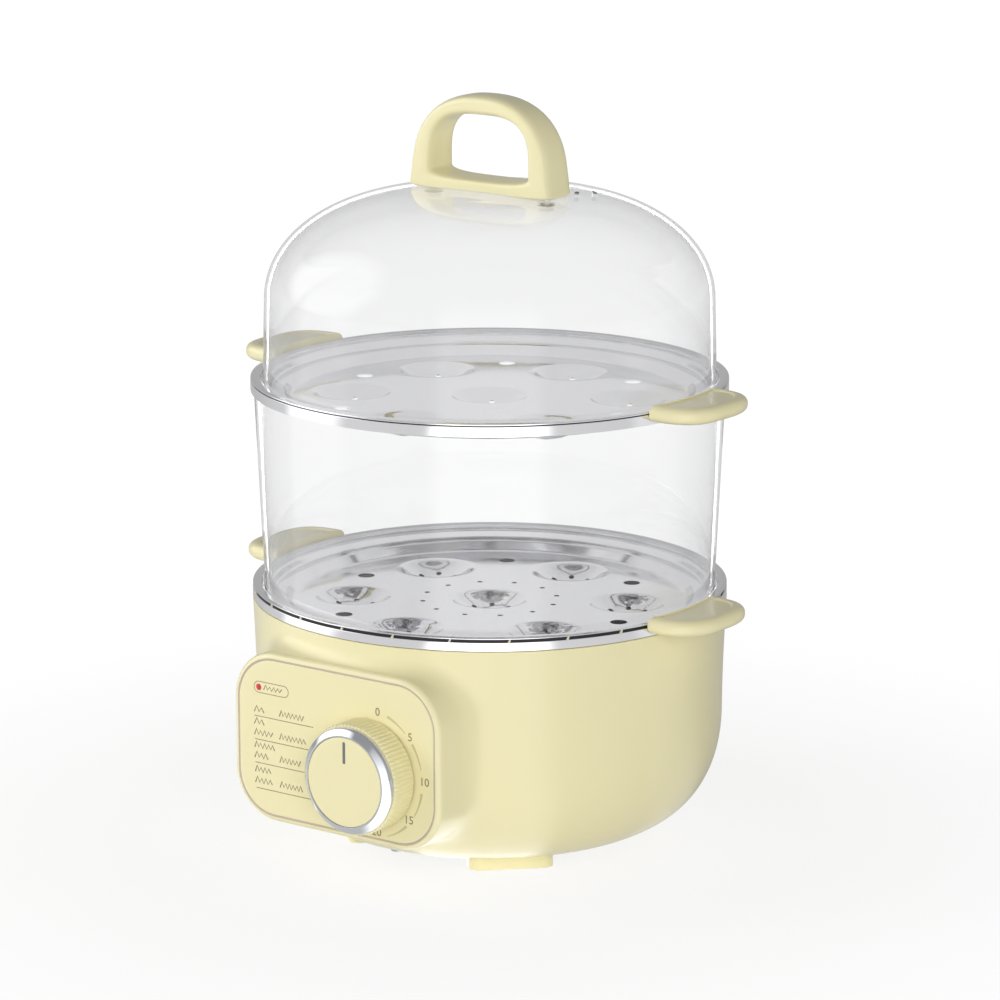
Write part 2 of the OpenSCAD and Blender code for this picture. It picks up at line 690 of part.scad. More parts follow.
module cord_gland() {
    color([0.94, 0.9, 0.72]) on_axis() translate([0, 0, gland_z]) rotate([-90, 0, 0]) difference() {
        union() {
            translate([0, 0, gland_in_y - 4.5])
                cylinder(h = gland_face_y - gland_in_y + 5, r = gland_thread_r);
            translate([0, 0, gland_face_y]) cylinder(h = 1.6, r = gland_flange_r);
            translate([0, 0, gland_face_y + 1.6])
                cylinder(h = 1, r1 = gland_flange_r, r2 = gland_flange_r - 1);
        }
        translate([0, 0, gland_in_y - 5]) cylinder(h = 30, r = gland_hole_r);
    }
}

module gland_nut() {
    color([0.94, 0.9, 0.72]) on_axis() translate([0, gland_in_y, gland_z]) rotate([90, 0, 0]) difference() {
        cylinder(h = 4, r = gland_flange_r, $fn = 6);
        translate([0, 0, -1]) cylinder(h = 6, r = gland_thread_r + slip);
    }
}

module timer_shaft() {
    color(steel) on_axis() upright(knob_x, pocket_y + shaft_in - 0.3, knob_z)
        cylinder(h = shaft_in - 0.3 + shell_wall + plate_t + skirt_front - 2, r = shaft_r);
}

// Outline of the skirt: one shallow groove after another round the circle
function flutes(r) = [for (i = [0 : 4 * flute_count - 1])
    let (a = 90 * i / flute_count, d = [0, 0.7, 1, 0.7][i % 4] * flute_depth)
    (r - d) * [cos(a), sin(a)]];

module knob_body() {
    color(cream) on_axis() upright(knob_x, panel_y - knob_gap, knob_z) {
        difference() {
            linear_extrude(skirt_front - knob_gap) polygon(flutes(knob_r));
            translate([0, 0, -1]) cylinder(h = skirt_front - knob_gap - 1, r = knob_r - 2.4);
        }
        difference() {
            cylinder(h = skirt_front - knob_gap, r = 6.5);
            translate([0, 0, -1]) cylinder(h = skirt_front - knob_gap - 1, r = shaft_r + slip);
        }
        for (a = [0 : 60 : 300]) rotate([0, 0, a])
            translate([6, -0.6, 2]) cube([knob_r - 2.4 - 5.5, 1.2, skirt_front - knob_gap - 3]);
    }
}

module knob_ring() {
    color([0.86, 0.87, 0.9]) on_axis() upright(knob_x, panel_y - skirt_front, knob_z) rotate_extrude()
        polygon([[disc_r, 0], [bezel_r - 0.3, 0], [bezel_r, 0.3], [bezel_r, bezel_side_h],
            [disc_r + 0.5, knob_h - skirt_front], [disc_r, knob_h - skirt_front]]);
}

module knob_cap() {
    color(cream) on_axis() upright(knob_x, panel_y - skirt_front, knob_z) difference() {
        cylinder(h = knob_h - skirt_front - 0.1, r = disc_r - slip);
        translate([-0.85, 8.4, knob_h - skirt_front - 0.7]) cube([1.7, disc_r - 10.2, 1]);
    }
}

module knob_pointer() {
    color([0.5, 0.5, 0.52]) on_axis() upright(knob_x, panel_y - skirt_front, knob_z)
        translate([-0.8, 8.45, knob_h - skirt_front - 0.7]) cube([1.6, disc_r - 10.3, 0.6]);
}

// Upper side of a tray, from the middle of its floor to the foot of its skirt
tray_path = [[0, -tray_depth], [floor_r - 2, -tray_depth], [floor_r, 1 - tray_depth],
    [ledge_r - ledge_w - 1.2, -ledge_drop - 0.6], [ledge_r - ledge_w - 0.2, -ledge_drop],
    [ledge_r - 1.6, -ledge_drop],
    [ledge_r - 0.6, 0.7 - ledge_drop], [ledge_r, -shelf_drop - 0.4], [ledge_r + 0.6, -shelf_drop],
    [shelf_r - 0.5, -shelf_drop], [shelf_r, 0.4 - shelf_drop], [shelf_r, brim_rise - 0.4],
    [shelf_r + 0.4, brim_rise], [rim_r - 0.6, brim_rise], [rim_r, brim_rise - 0.5],
    [rim_r, 0.3], [rim_r - 0.1, 0], [skirt_r, -0.3], [skirt_r, -skirt_h]];

// Tray with seven egg seats, steam holes between them and drain holes in each seat
module tray(z) {
    seats = concat([[0, 0]], [for (a = [30 : 60 : 330]) seat_circle_r * [cos(a), sin(a)]]);
    rings = concat([[0, 0]], [for (a = [0 : 60 : 300]) 9 * [cos(a), sin(a)]]);
    color(steel) on_axis() translate([0, 0, z]) difference() {
        union() {
            turned_sheet(tray_path, tray_wall);
            for (s = seats) translate([s[0], s[1], seat_sphere_r - seat_depth - tray_depth])
                intersection() {
                    sphere(seat_sphere_r + tray_wall);
                    translate([0, 0, -seat_sphere_r - 1])
                        cylinder(h = seat_depth + 1 - tray_wall / 2, r = seat_r + tray_wall);
                }
            for (s = [-1, 1]) tongue(s);
        }
        for (s = seats) translate([s[0], s[1], seat_sphere_r - seat_depth - tray_depth])
            sphere(seat_sphere_r);
        for (s = seats) for (p = rings)
            translate([s[0] + p[0], s[1] + p[1], -tray_depth - seat_depth - 2])
                cylinder(h = seat_depth + 4, r = drain_hole_d / 2);
        for (a = [0 : 60 : 300]) rotate([0, 0, a]) translate([seat_circle_r + 9, 0, -tray_depth - 2])
            cylinder(h = 4, r = steam_hole_d / 2);
        for (a = [15 : 30 : 345]) rotate([0, 0, a]) translate([31.5, 0, -tray_depth - 2])
            cylinder(h = 4, r = drain_hole_d / 2);
        for (s = [-1, 1]) for (t = [-1, 1])
            translate([s * handle_screw_x, t * handle_screw_y, tongue_z - 1])
                cylinder(h = 4, r = small_screw_r + 0.3);
    }
}

// Steel tongue welded to the skirt, which carries a tray handle
module tongue(s) {
    translate([s > 0 ? skirt_r - 0.4 : -(skirt_r + tongue_l), -tongue_w / 2, tongue_z])
        cube([tongue_l + 0.4, tongue_w, tongue_t]);
}

// Outline of a tray handle at height z: half a superellipse, moved in by inset, whose straight
// inner side lies within the skirt
function tab_outline(inset, z) =
    let (l = tab_half_l - inset, tip = skirt_r + tab_reach - inset, n = 20,
        x0 = sqrt(skirt_r * skirt_r - l * l))
    concat([[x0 - 4, -l, z]],
        [for (i = [0 : n]) let (a = -90 + 180 * i / n)
            [x0 + (tip - x0) * pow(max(cos(a), 0), 2 / 3.2), l * keep_sign(sin(a), 2 / 3.2), z]],
        [[x0 - 4, l, z]]);

// Tray handle with rounded edges and a dished top, hollowed to follow the skirt
module tab_handle(s, z) {
    round_r = tab_h * 0.46;
    high = brim_rise + tab_lift;
    low = high - tab_h;
    dish = 0.6;
    edge = concat(
        [for (a = [0 : 22 : 88]) [round_r * (1 - sin(a)), low + round_r * (1 - cos(a))]],
        [for (a = [88 : -22 : 0]) [round_r * (1 - sin(a)), high - round_r * (1 - cos(a))]],
        [[round_r + 1, high], [round_r + 1.5, high - dish]]);
    color(cream) on_axis() translate([0, 0, z]) mirror([s < 0 ? 1 : 0, 0, 0]) difference() {
        skin([for (e = edge) tab_outline(e[0], e[1])]);
        translate([0, 0, low - 1]) cylinder(h = tab_h + 2, r = skirt_r + 0.3);
        translate([skirt_r - 1, -tongue_w / 2 - 0.2, tongue_z - 3])
            cube([tongue_l + 1.4, tongue_w + 0.4, tongue_t + 3 + slip]);
        for (t = [-1, 1]) translate([handle_screw_x, t * handle_screw_y, tongue_z])
            cylinder(h = handle_bore_h, r = small_screw_r + slip);
    }
}

module handle_screws(z) {
    color(steel) on_axis() translate([0, 0, z]) for (s = [-1, 1]) for (t = [-1, 1])
        translate([s * handle_screw_x, t * handle_screw_y, tongue_z]) {
            cylinder(h = handle_bore_h - 0.2, r = small_screw_r);
            translate([0, 0, -1.2]) cylinder(h = 1.2, r = 2.6);
        }
}

module lower_tray() { tray(rim_z); }
module lower_left_handle() { tab_handle(-1, rim_z); }
module lower_right_handle() { tab_handle(1, rim_z); }
module lower_handle_screws() { handle_screws(rim_z); }

module steam_ring() {
    z0 = rim_z - shelf_drop + stack_gap;
    z1 = upper_z + mouth_up;
    color(clear) on_axis() rotate_extrude() polygon([
        [foot_ring_r - ring_wall, z0 + 0.5], [foot_ring_r - ring_wall + 0.5, z0], [foot_ring_r - 0.5, z0],
        [foot_ring_r, z0 + 0.5], [mouth_r, z1 - 0.5], [mouth_r - 0.5, z1],
        [mouth_r - ring_wall + 0.5, z1], [mouth_r - ring_wall, z1 - 0.5]]);
}

module upper_tray() { tray(upper_z); }
module upper_left_handle() { tab_handle(-1, upper_z); }
module upper_right_handle() { tab_handle(1, upper_z); }
module upper_handle_screws() { handle_screws(upper_z); }

// Outer side of the lid from its foot to the middle of its crown, moved in by t
function lid_path(t) =
    let (side_z = lid_foot_z + lid_side_h, top = lid_top_z - t)
    concat([[foot_ring_r - t, lid_foot_z]],
        quarter(crown_r, lid_side_r - t - crown_r, side_z, top - side_z - crown_rise, lid_power, 0, 90, 24),
        [[crown_r * 0.5, top - 0.2], [0, top]]);

module lid_dome() {
    color(clear) on_axis() difference() {
        rotate_extrude() polygon(concat(lid_path(0), back(lid_path(lid_wall))));
        for (s = [-1, 1]) translate([s * grip_screw_x, 0, lid_top_z - 12])
            cylinder(h = 14, r = small_screw_r + 0.35);
        // two steam vents beside the handle
        for (p = vents)
            translate([p[0], p[1], lid_top_z - 12]) rotate([0, 0, atan2(p[1], p[0]) + 90])
                slot_plate(vent_l, vent_w, 14);
    }
}

// Closed loop of the handle: outer and inner outline meet at each angle a, and the section between
// them is a superellipse that is squarer at the legs than at the top bar
module lid_handle() {
    mid_z = grip_sole_z + 8;
    top_z = lid_top_z + grip_h;
    in_half = grip_half_l - grip_leg_t;
    n = 56;
    m = 20;
    rings = [for (j = [0 : n - 1]) let (
        a = 360 * j / n, up = max(sin(a), 0), ca = cos(a), sa = sin(a),
        outer = sa >= 0
            ? [grip_half_l * keep_sign(ca, 2 / 2.35), mid_z + (top_z - mid_z) * pow(sa, 2 / 2.35)]
            : [grip_half_l * keep_sign(ca, 2 / 12), mid_z - (mid_z - grip_sole_z) * pow(-sa, 2 / 12)],
        inner = sa >= 0
            ? [in_half * keep_sign(ca, 2 / 3.2), mid_z + (top_z - mid_z - grip_bar_t) * pow(sa, 2 / 3.2)]
            : [in_half * keep_sign(ca, 2 / 5),
                mid_z - (mid_z - grip_sole_z - grip_sole_t) * pow(-sa, 2 / 5)],
        c = (outer + inner) / 2, h = (outer - inner) / 2,
        w = grip_w / 2 * (1 - 0.16 * up), e = 2 / (5 - 2 * up))
        [for (i = [0 : m - 1]) let (b = 360 * i / m, u = keep_sign(cos(b), e), v = keep_sign(sin(b), e))
            [c[0] + h[0] * u, w * v, c[1] + h[1] * u]]];
    color(cream) on_axis() difference() {
        skin(back(rings), closed = true);
        // seat on the lid, a small gap above its outer side
        rotate_extrude() translate([0, 0.15]) polygon(concat(lid_path(0), [[0, lid_foot_z]]));
        for (s = [-1, 1]) translate([s * grip_screw_x, 0, lid_top_z - 5])
            cylinder(h = lid_screw_l + 2, r = small_screw_r + slip);
    }
}

module lid_handle_screws() {
    color(steel) on_axis() for (s = [-1, 1])
        translate([s * grip_screw_x, 0, lid_under_z(grip_screw_x) - 1.4]) {
            cylinder(h = lid_screw_l, r = small_screw_r);
            translate([0, 0, -2]) cylinder(h = 2, r = 3.4);
        }
}

module lid_washers() {
    color([0.9, 0.9, 0.88]) on_axis() for (s = [-1, 1])
        translate([s * grip_screw_x, 0, lid_under_z(grip_screw_x) - 1.4]) difference() {
            cylinder(h = 1, r = 4.4);
            translate([0, 0, -1]) cylinder(h = 3, r = small_screw_r + slip);
        }
}

// Height of the lid's inner side at radius r on the crown
function lid_under_z(r) =
    let (dr = lid_side_r - lid_wall - crown_r, c = pow(max(r - crown_r, 0) / dr, lid_power / 2),
        side_z = lid_foot_z + lid_side_h)
    side_z + (lid_top_z - lid_wall - side_z - crown_rise) * pow(sqrt(1 - c * c), 2 / lid_power);

base_shell();
bottom_cover();
foot_pads();
cover_screws();
heating_pan();
pan_seal();
pan_nuts();
heat_spreader();
heating_element();
thermostat();
thermostat_screws();
thermal_fuse();
fuse_clip();
panel_plate();
panel_trim();
lamp_lens();
neon_lamp();
timer_body();
timer_bell();
timer_screws();
terminal_block();
cord_gland();
gland_nut();
timer_shaft();
knob_body();
knob_ring();
knob_cap();
knob_pointer();
lower_tray();
lower_left_handle();
lower_right_handle();
lower_handle_screws();
steam_ring();
upper_tray();
upper_left_handle();
upper_right_handle();
upper_handle_screws();
lid_dome();
lid_handle();
lid_handle_screws();
lid_washers();
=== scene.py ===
import json
import math
import bmesh
import bpy
import numpy as np
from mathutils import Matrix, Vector
from mathutils.geometry import delaunay_2d_cdt


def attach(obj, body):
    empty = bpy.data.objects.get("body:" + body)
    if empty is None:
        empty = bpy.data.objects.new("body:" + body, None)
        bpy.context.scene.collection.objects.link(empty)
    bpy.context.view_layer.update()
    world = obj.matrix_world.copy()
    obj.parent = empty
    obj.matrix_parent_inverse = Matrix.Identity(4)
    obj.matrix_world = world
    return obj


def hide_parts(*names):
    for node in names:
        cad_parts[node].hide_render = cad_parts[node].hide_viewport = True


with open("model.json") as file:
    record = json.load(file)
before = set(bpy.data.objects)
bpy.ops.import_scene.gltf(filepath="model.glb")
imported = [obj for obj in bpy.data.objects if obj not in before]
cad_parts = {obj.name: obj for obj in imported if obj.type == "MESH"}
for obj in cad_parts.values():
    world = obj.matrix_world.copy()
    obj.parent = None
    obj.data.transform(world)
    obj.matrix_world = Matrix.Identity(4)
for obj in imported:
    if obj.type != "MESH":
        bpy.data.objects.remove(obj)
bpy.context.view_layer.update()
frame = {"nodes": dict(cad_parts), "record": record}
nodes = frame["nodes"]
mm = 0.001
axisY = 12.45        # mm from the frame's origin back to the trays' axis
print("frame loaded")

# mesh helpers, all in mm about the trays' axis


def turns(count):
    # evenly spaced angles once round
    return 2 * math.pi * np.arange(count) / count


def circle(radius, angles):
    # (r cos a, r sin a)
    return radius * np.stack([np.cos(angles), np.sin(angles)], -1)


def gridFaces(rows, cols, wrapRows=False, wrapCols=True, start=0):
    # quads (i, j) (i, j + 1) (i + 1, j + 1) (i + 1, j) of a grid of points
    i = np.arange(rows if wrapRows else rows - 1)[:, None]
    j = np.arange(cols if wrapCols else cols - 1)[None, :]
    a, b = i * cols + j, i * cols + (j + 1) % cols
    c, d = (i + 1) % rows * cols + (j + 1) % cols, (i + 1) % rows * cols + j
    return np.stack([a, b, c, d], -1).reshape(-1, 4) + start


def fanFaces(ring, centre):
    # triangles from each side of a ring to one centre point
    return np.stack([ring, np.roll(ring, -1), np.full(len(ring), centre)], -1)


def loft(rings, wrap=False):
    # faces from each ring of points to the next; fans shut the ends, unless they join
    rings = np.array(rings)
    m = rings.shape[1]
    points, faces = rings.reshape(-1, 3), [gridFaces(len(rings), m, wrapRows=wrap)]
    if not wrap:
        points = np.concatenate([points, [rings[0].mean(0), rings[-1].mean(0)]])
        faces += [fanFaces(np.arange(m)[::-1], len(points) - 2),
                  fanFaces(np.arange(m) + m * (len(rings) - 1), len(points) - 1)]
    return points, faces


def roundCorners(corners, closed=True, steps=8):
    # each corner (x, y, r) becomes an arc of radius r that touches both of its sides
    straight, share = 1.56, 0.49     # half angle that is no corner, most of a side for one arc
    flat = [np.array(c[:2], float) for c in corners]
    out = []
    for i, c in enumerate(corners):
        here = flat[i]
        before, after = flat[i - 1] - here, flat[(i + 1) % len(flat)] - here
        u, v = before / np.linalg.norm(before), after / np.linalg.norm(after)
        half = math.acos(np.clip(u @ v, -1, 1)) / 2
        ends = not closed and i in (0, len(flat) - 1)
        if ends or len(c) < 3 or c[2] == 0 or half > straight:
            out.append(here[None])
            continue
        shorter = min(np.linalg.norm(before), np.linalg.norm(after))
        run = min(c[2] / math.tan(half), share * shorter)
        radius = run * math.tan(half)
        centre = here + (u + v) / np.linalg.norm(u + v) * radius / math.sin(half)
        p, q = here + u * run - centre, here + v * run - centre
        a0, a1 = math.atan2(p[1], p[0]), math.atan2(q[1], q[0])
        bend = (a1 - a0 + math.pi) % (2 * math.pi) - math.pi
        out.append(centre + circle(radius, a0 + bend * np.linspace(0, 1, steps + 1)))
    return np.concatenate(out)


def finePath(path, step):
    # extra points along each side of a path that is longer than step
    out = []
    for p, q in zip(path[:-1], path[1:]):
        n = max(1, int(math.ceil(np.linalg.norm(q - p) / step)))
        out.append(p + (q - p) * np.arange(n)[:, None] / n)
    return np.concatenate(out + [path[-1:]])


def turned(profile, segments, closed=True):
    # (r, z) carried round the upright axis: (r cos a, r sin a, z)
    a = turns(segments)
    r, z = profile[:, :1], profile[:, 1:]
    points = np.stack([r * np.cos(a), r * np.sin(a), z + 0 * a], -1).reshape(-1, 3)
    return points, [gridFaces(len(profile), segments, wrapRows=closed)]


def power(x, e):
    # sign(x) |x|^e
    return np.sign(x) * np.abs(x) ** e


def addPiece(name, points, faces, body=None, slot=None, stands=(), sharp=38, cut=None,
             material=None):
    # faces from several arrays in one mesh: doubles merged, normals outwards, sharp edges by angle;
    # the finish is the slot's own unless another is given, and a cutter has neither body nor slot
    points = np.asarray(points, float).reshape(-1, 3)
    used, flatLoops = np.unique(np.concatenate([f.ravel() for f in faces]), return_inverse=True)
    sizes = np.concatenate([np.full(len(f), f.shape[1]) for f in faces])
    mesh = bpy.data.meshes.new(name)
    mesh.vertices.add(len(used))
    mesh.vertices.foreach_set("co", ((points[used] + [0, axisY, 0]) * mm).ravel())
    mesh.loops.add(len(flatLoops))
    mesh.loops.foreach_set("vertex_index", flatLoops.astype(np.int32))
    mesh.polygons.add(len(sizes))
    mesh.polygons.foreach_set("loop_start", (np.cumsum(sizes) - sizes).astype(np.int32))
    mesh.update(calc_edges=True)
    mesh.validate()
    work = bmesh.new()
    work.from_mesh(mesh)
    bmesh.ops.remove_doubles(work, verts=work.verts, dist=0.002 * mm)
    bmesh.ops.recalc_face_normals(work, faces=work.faces)
    work.to_mesh(mesh)
    work.free()
    piece = bpy.data.objects.new(name, mesh)
    bpy.context.scene.collection.objects.link(piece)
    if cut is not None:
        carve(piece, cut)
    mesh = piece.data
    mesh.polygons.foreach_set("use_smooth", np.ones(len(mesh.polygons), bool))
    mesh.set_sharp_from_angle(angle=math.radians(sharp))
    mesh.materials.clear()
    if body:
        mesh.materials.append(material or slotFinish[slot])
        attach(piece, body)
    if stands:
        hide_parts(*stands)
    return piece


def carve(piece, cutter):
    # the cutter's volume is taken out of the piece, and the cutter goes
    mod = piece.modifiers.new("cut", "BOOLEAN")
    mod.operation, mod.solver, mod.object = "DIFFERENCE", "EXACT", cutter
    bpy.context.view_layer.update()
    depsgraph = bpy.context.evaluated_depsgraph_get()
    cutMesh = bpy.data.meshes.new_from_object(piece.evaluated_get(depsgraph))
    piece.modifiers.clear()
    piece.data = cutMesh
    bpy.data.objects.remove(cutter)


def prisms(name, outlines, low, high, upright=True):
    # outlines (u, v) of one length carried from low to high, upright or backwards, for cutting
    n = len(outlines[0])
    points, faces = [], []
    for k, line in enumerate(outlines):
        for w in (low, high):
            level = np.full(n, w)
            place = [line, level] if upright else [line[:, 0], level, line[:, 1]]
            points.append(np.column_stack(place))
        start = 2 * n * k
        faces += [gridFaces(2, n, start=start), start + np.arange(n)[None, ::-1],
                  start + n + np.arange(n)[None]]
    return addPiece(name, np.concatenate(points), faces)


# shader groups that the finishes share

skinLook = {
    "cloudScale": 14.0, "flowScale": 60.0, "flowDepth": 0.05,     # moulded plastic
    "smearScale": 25.0, "ringTint": 0.05, "ringStretch": 0.004,     # turned sheet
    "bumpDistance": 0.0002,
}
clearLook = {
    "edgePower": 2.5, "edgeShade": 0.9,     # greyer where the wall is seen edge on
    "coatIOR": 1.5, "coatRoughness": 0.02, "hazeScale": 30.0, "hazeDepth": 0.02,
    "shadowShare": 0.1,     # how much of its shadow a clear piece keeps
}


def plug(tree, value, socket):
    # links a socket, or sets a plain value
    if isinstance(value, bpy.types.NodeSocket):
        tree.links.new(value, socket)
    else:
        socket.default_value = value


def feed(tree, node, **inputs):
    # each named input gets its socket or value; _ stands for a space
    for key, value in inputs.items():
        plug(tree, value, node.inputs[key.replace("_", " ")])
    return node


def addNode(tree, kind, **inputs):
    # a new node with its named inputs set or linked
    return feed(tree, tree.nodes.new(kind), **inputs)


def emptyTree(owner):
    # a material's or world's node tree, with the default nodes taken out
    owner.use_nodes = True
    owner.node_tree.nodes.clear()
    return owner.node_tree


def newGroup(name, inputs, outputs):
    # inputs as (label, kind, value), outputs as (label, kind)
    group = bpy.data.node_groups.new(name, "ShaderNodeTree")
    add = group.interface.new_socket
    for label, kind, value in inputs:
        add(name=label, in_out="INPUT", socket_type="NodeSocket" + kind).default_value = value
    for label, kind in outputs:
        add(name=label, in_out="OUTPUT", socket_type="NodeSocket" + kind)
    return group, group.nodes.new("NodeGroupInput"), group.nodes.new("NodeGroupOutput")


def surfaceGroup(name, roughness, *own):
    # a group that puts out colour, roughness and height, with two inputs of its own
    inputs = [("Colour", "Color", (0.8, 0.8, 0.8, 1)), ("Roughness", "Float", roughness)]
    return newGroup(name, inputs + [(label, "Float", value) for label, value in own],
                    [("Colour", "Color"), ("Roughness", "Float"), ("Height", "Float")])


def maths(tree, operation, *values, clamp=False):
    # a Math node on sockets or plain values
    node = tree.nodes.new("ShaderNodeMath")
    node.operation, node.use_clamp = operation, clamp
    for value, socket in zip(values, node.inputs):
        plug(tree, value, socket)
    return node.outputs[0]


def vectorMaths(tree, operation, values, out="Vector"):
    # operation on vectors, values by input: each a number, a tuple or a socket
    node = tree.nodes.new("ShaderNodeVectorMath")
    node.operation = operation
    for key, value in values.items():
        plug(tree, value, node.inputs[key])
    return node.outputs[out]


def dot(tree, vector, axis):
    # x x' + y y' + z z', the share of the vector along the axis
    return vectorMaths(tree, "DOT_PRODUCT", {0: vector, 1: tuple(axis)}, "Value")


def climb(tree, value, start, slope):
    # (value - start) slope, kept between 0 and 1
    return maths(tree, "MULTIPLY", maths(tree, "SUBTRACT", value, start), slope, clamp=True)


def vary(tree, base, amount, mask, clamp=True):
    # base + amount (mask - 0.5)
    centred = maths(tree, "SUBTRACT", mask, 0.5)
    return maths(tree, "MULTIPLY_ADD", centred, amount, base, clamp=clamp)


def noise(tree, vector, scale, detail=3.0, rough=0.55):
    # smooth random value about 0.5, with about scale lumps in each unit of the vector
    node = addNode(tree, "ShaderNodeTexNoise", Vector=vector, Scale=scale, Detail=detail,
                   Roughness=rough)
    return node.outputs["Fac"]


def shiftHue(tree, colour, amount, mask):
    # colour times (1 + amount (mask - 0.5)), channel by channel
    gain = vary(tree, 1.0, amount, mask, clamp=False)
    return vectorMaths(tree, "SCALE", {0: colour, "Scale": gain})


def buildMouldedGroup():
    # moulded plastic: cloudy tint, faint flow marks in the gloss, fine spark texture for the bump
    group, gin, gout = surfaceGroup("mouldedSkin", 0.3, ("Cloud", 0.03), ("Texture scale", 2600.0))
    given = gin.outputs
    coord = group.nodes.new("ShaderNodeTexCoord").outputs["Object"]
    cloud = noise(group, coord, skinLook["cloudScale"], 3.0)
    flow = noise(group, coord, skinLook["flowScale"], 4.0, 0.6)
    feed(group, gout, Colour=shiftHue(group, given["Colour"], given["Cloud"], cloud),
         Roughness=vary(group, given["Roughness"], skinLook["flowDepth"], flow),
         Height=noise(group, coord, given["Texture scale"], 2.0, 0.7))
    return group


def buildPolishedGroup():
    # turned sheet metal: fine rings round the trays' axis, smears in the gloss
    group, gin, gout = surfaceGroup("polishedSheet", 0.12, ("Ring scale", 1800.0), ("Smear", 0.08))
    given = gin.outputs
    coord = group.nodes.new("ShaderNodeTexCoord").outputs["Object"]
    moved = vectorMaths(group, "ADD", {0: coord, 1: (0.0, -axisY * mm, 0.0)})
    x, y, z = addNode(group, "ShaderNodeSeparateXYZ", Vector=moved).outputs
    squares = [maths(group, "MULTIPLY", v, v) for v in (x, y)]
    radius = maths(group, "SQRT", maths(group, "ADD", *squares))
    turn = maths(group, "MULTIPLY", maths(group, "ARCTAN2", y, x), skinLook["ringStretch"])
    rolled = addNode(group, "ShaderNodeCombineXYZ", X=radius, Y=z, Z=turn).outputs[0]
    rings = noise(group, rolled, given["Ring scale"], 2.0, 0.6)
    smear = noise(group, coord, skinLook["smearScale"], 4.0, 0.6)
    feed(group, gout, Colour=shiftHue(group, given["Colour"], skinLook["ringTint"], rings),
         Roughness=vary(group, given["Roughness"], given["Smear"], smear), Height=rings)
    return group


mouldedSkin = buildMouldedGroup()
polishedSheet = buildPolishedGroup()


def srgb(r, g, b):
    # sRGB 0..255 to the linear values that shaders take
    c = np.array([r, g, b]) / 255
    c = np.where(c <= 0.04045, c / 12.92, ((c + 0.055) / 1.055) ** 2.4)
    return (*[float(v) for v in c], 1.0)


def finish(name, group, colour, bump=0.02, settings=(), **values):
    # a Principled shader fed with colour, roughness and bump by one of the shared groups
    mat = bpy.data.materials.new(name)
    tree = emptyTree(mat)
    effect = tree.nodes.new("ShaderNodeGroup")
    effect.node_tree = group
    feed(tree, effect, Colour=colour, **values)
    relief = addNode(tree, "ShaderNodeBump", Strength=bump, Distance=skinLook["bumpDistance"],
                     Height=effect.outputs["Height"])
    shader = addNode(tree, "ShaderNodeBsdfPrincipled", Base_Color=effect.outputs["Colour"],
                     Roughness=effect.outputs["Roughness"], Normal=relief.outputs["Normal"],
                     **dict(settings))
    addNode(tree, "ShaderNodeOutputMaterial", Surface=shader.outputs[0])
    return mat


def clearFinish(name, colour, ior, coat):
    # clear plastic: seen nearly straight through, mirrored by its coat, open to the lamps' light
    c = clearLook
    mat = bpy.data.materials.new(name)
    tree = emptyTree(mat)
    facing = addNode(tree, "ShaderNodeLayerWeight", Blend=0.5).outputs["Facing"]
    tint = tree.nodes.new("ShaderNodeMix")
    tint.data_type = "RGBA"
    edge = tuple(c["edgeShade"] * v for v in colour[:3]) + (1,)
    for k, value in ((0, maths(tree, "POWER", facing, c["edgePower"])), (6, colour), (7, edge)):
        plug(tree, value, tint.inputs[k])
    haze = noise(tree, tree.nodes.new("ShaderNodeTexCoord").outputs["Object"], c["hazeScale"], 3.0)
    shadow = tree.nodes.new("ShaderNodeLightPath").outputs["Is Shadow Ray"]
    shader = addNode(tree, "ShaderNodeBsdfPrincipled", Base_Color=tint.outputs[2],
                     Roughness=maths(tree, "MULTIPLY", haze, c["hazeDepth"]),
                     Alpha=maths(tree, "MULTIPLY_ADD", shadow, c["shadowShare"] - 1, 1.0),
                     Transmission_Weight=1.0, IOR=ior, Coat_Weight=coat, Coat_IOR=c["coatIOR"],
                     Coat_Roughness=c["coatRoughness"])
    addNode(tree, "ShaderNodeOutputMaterial", Surface=shader.outputs[0])
    return mat


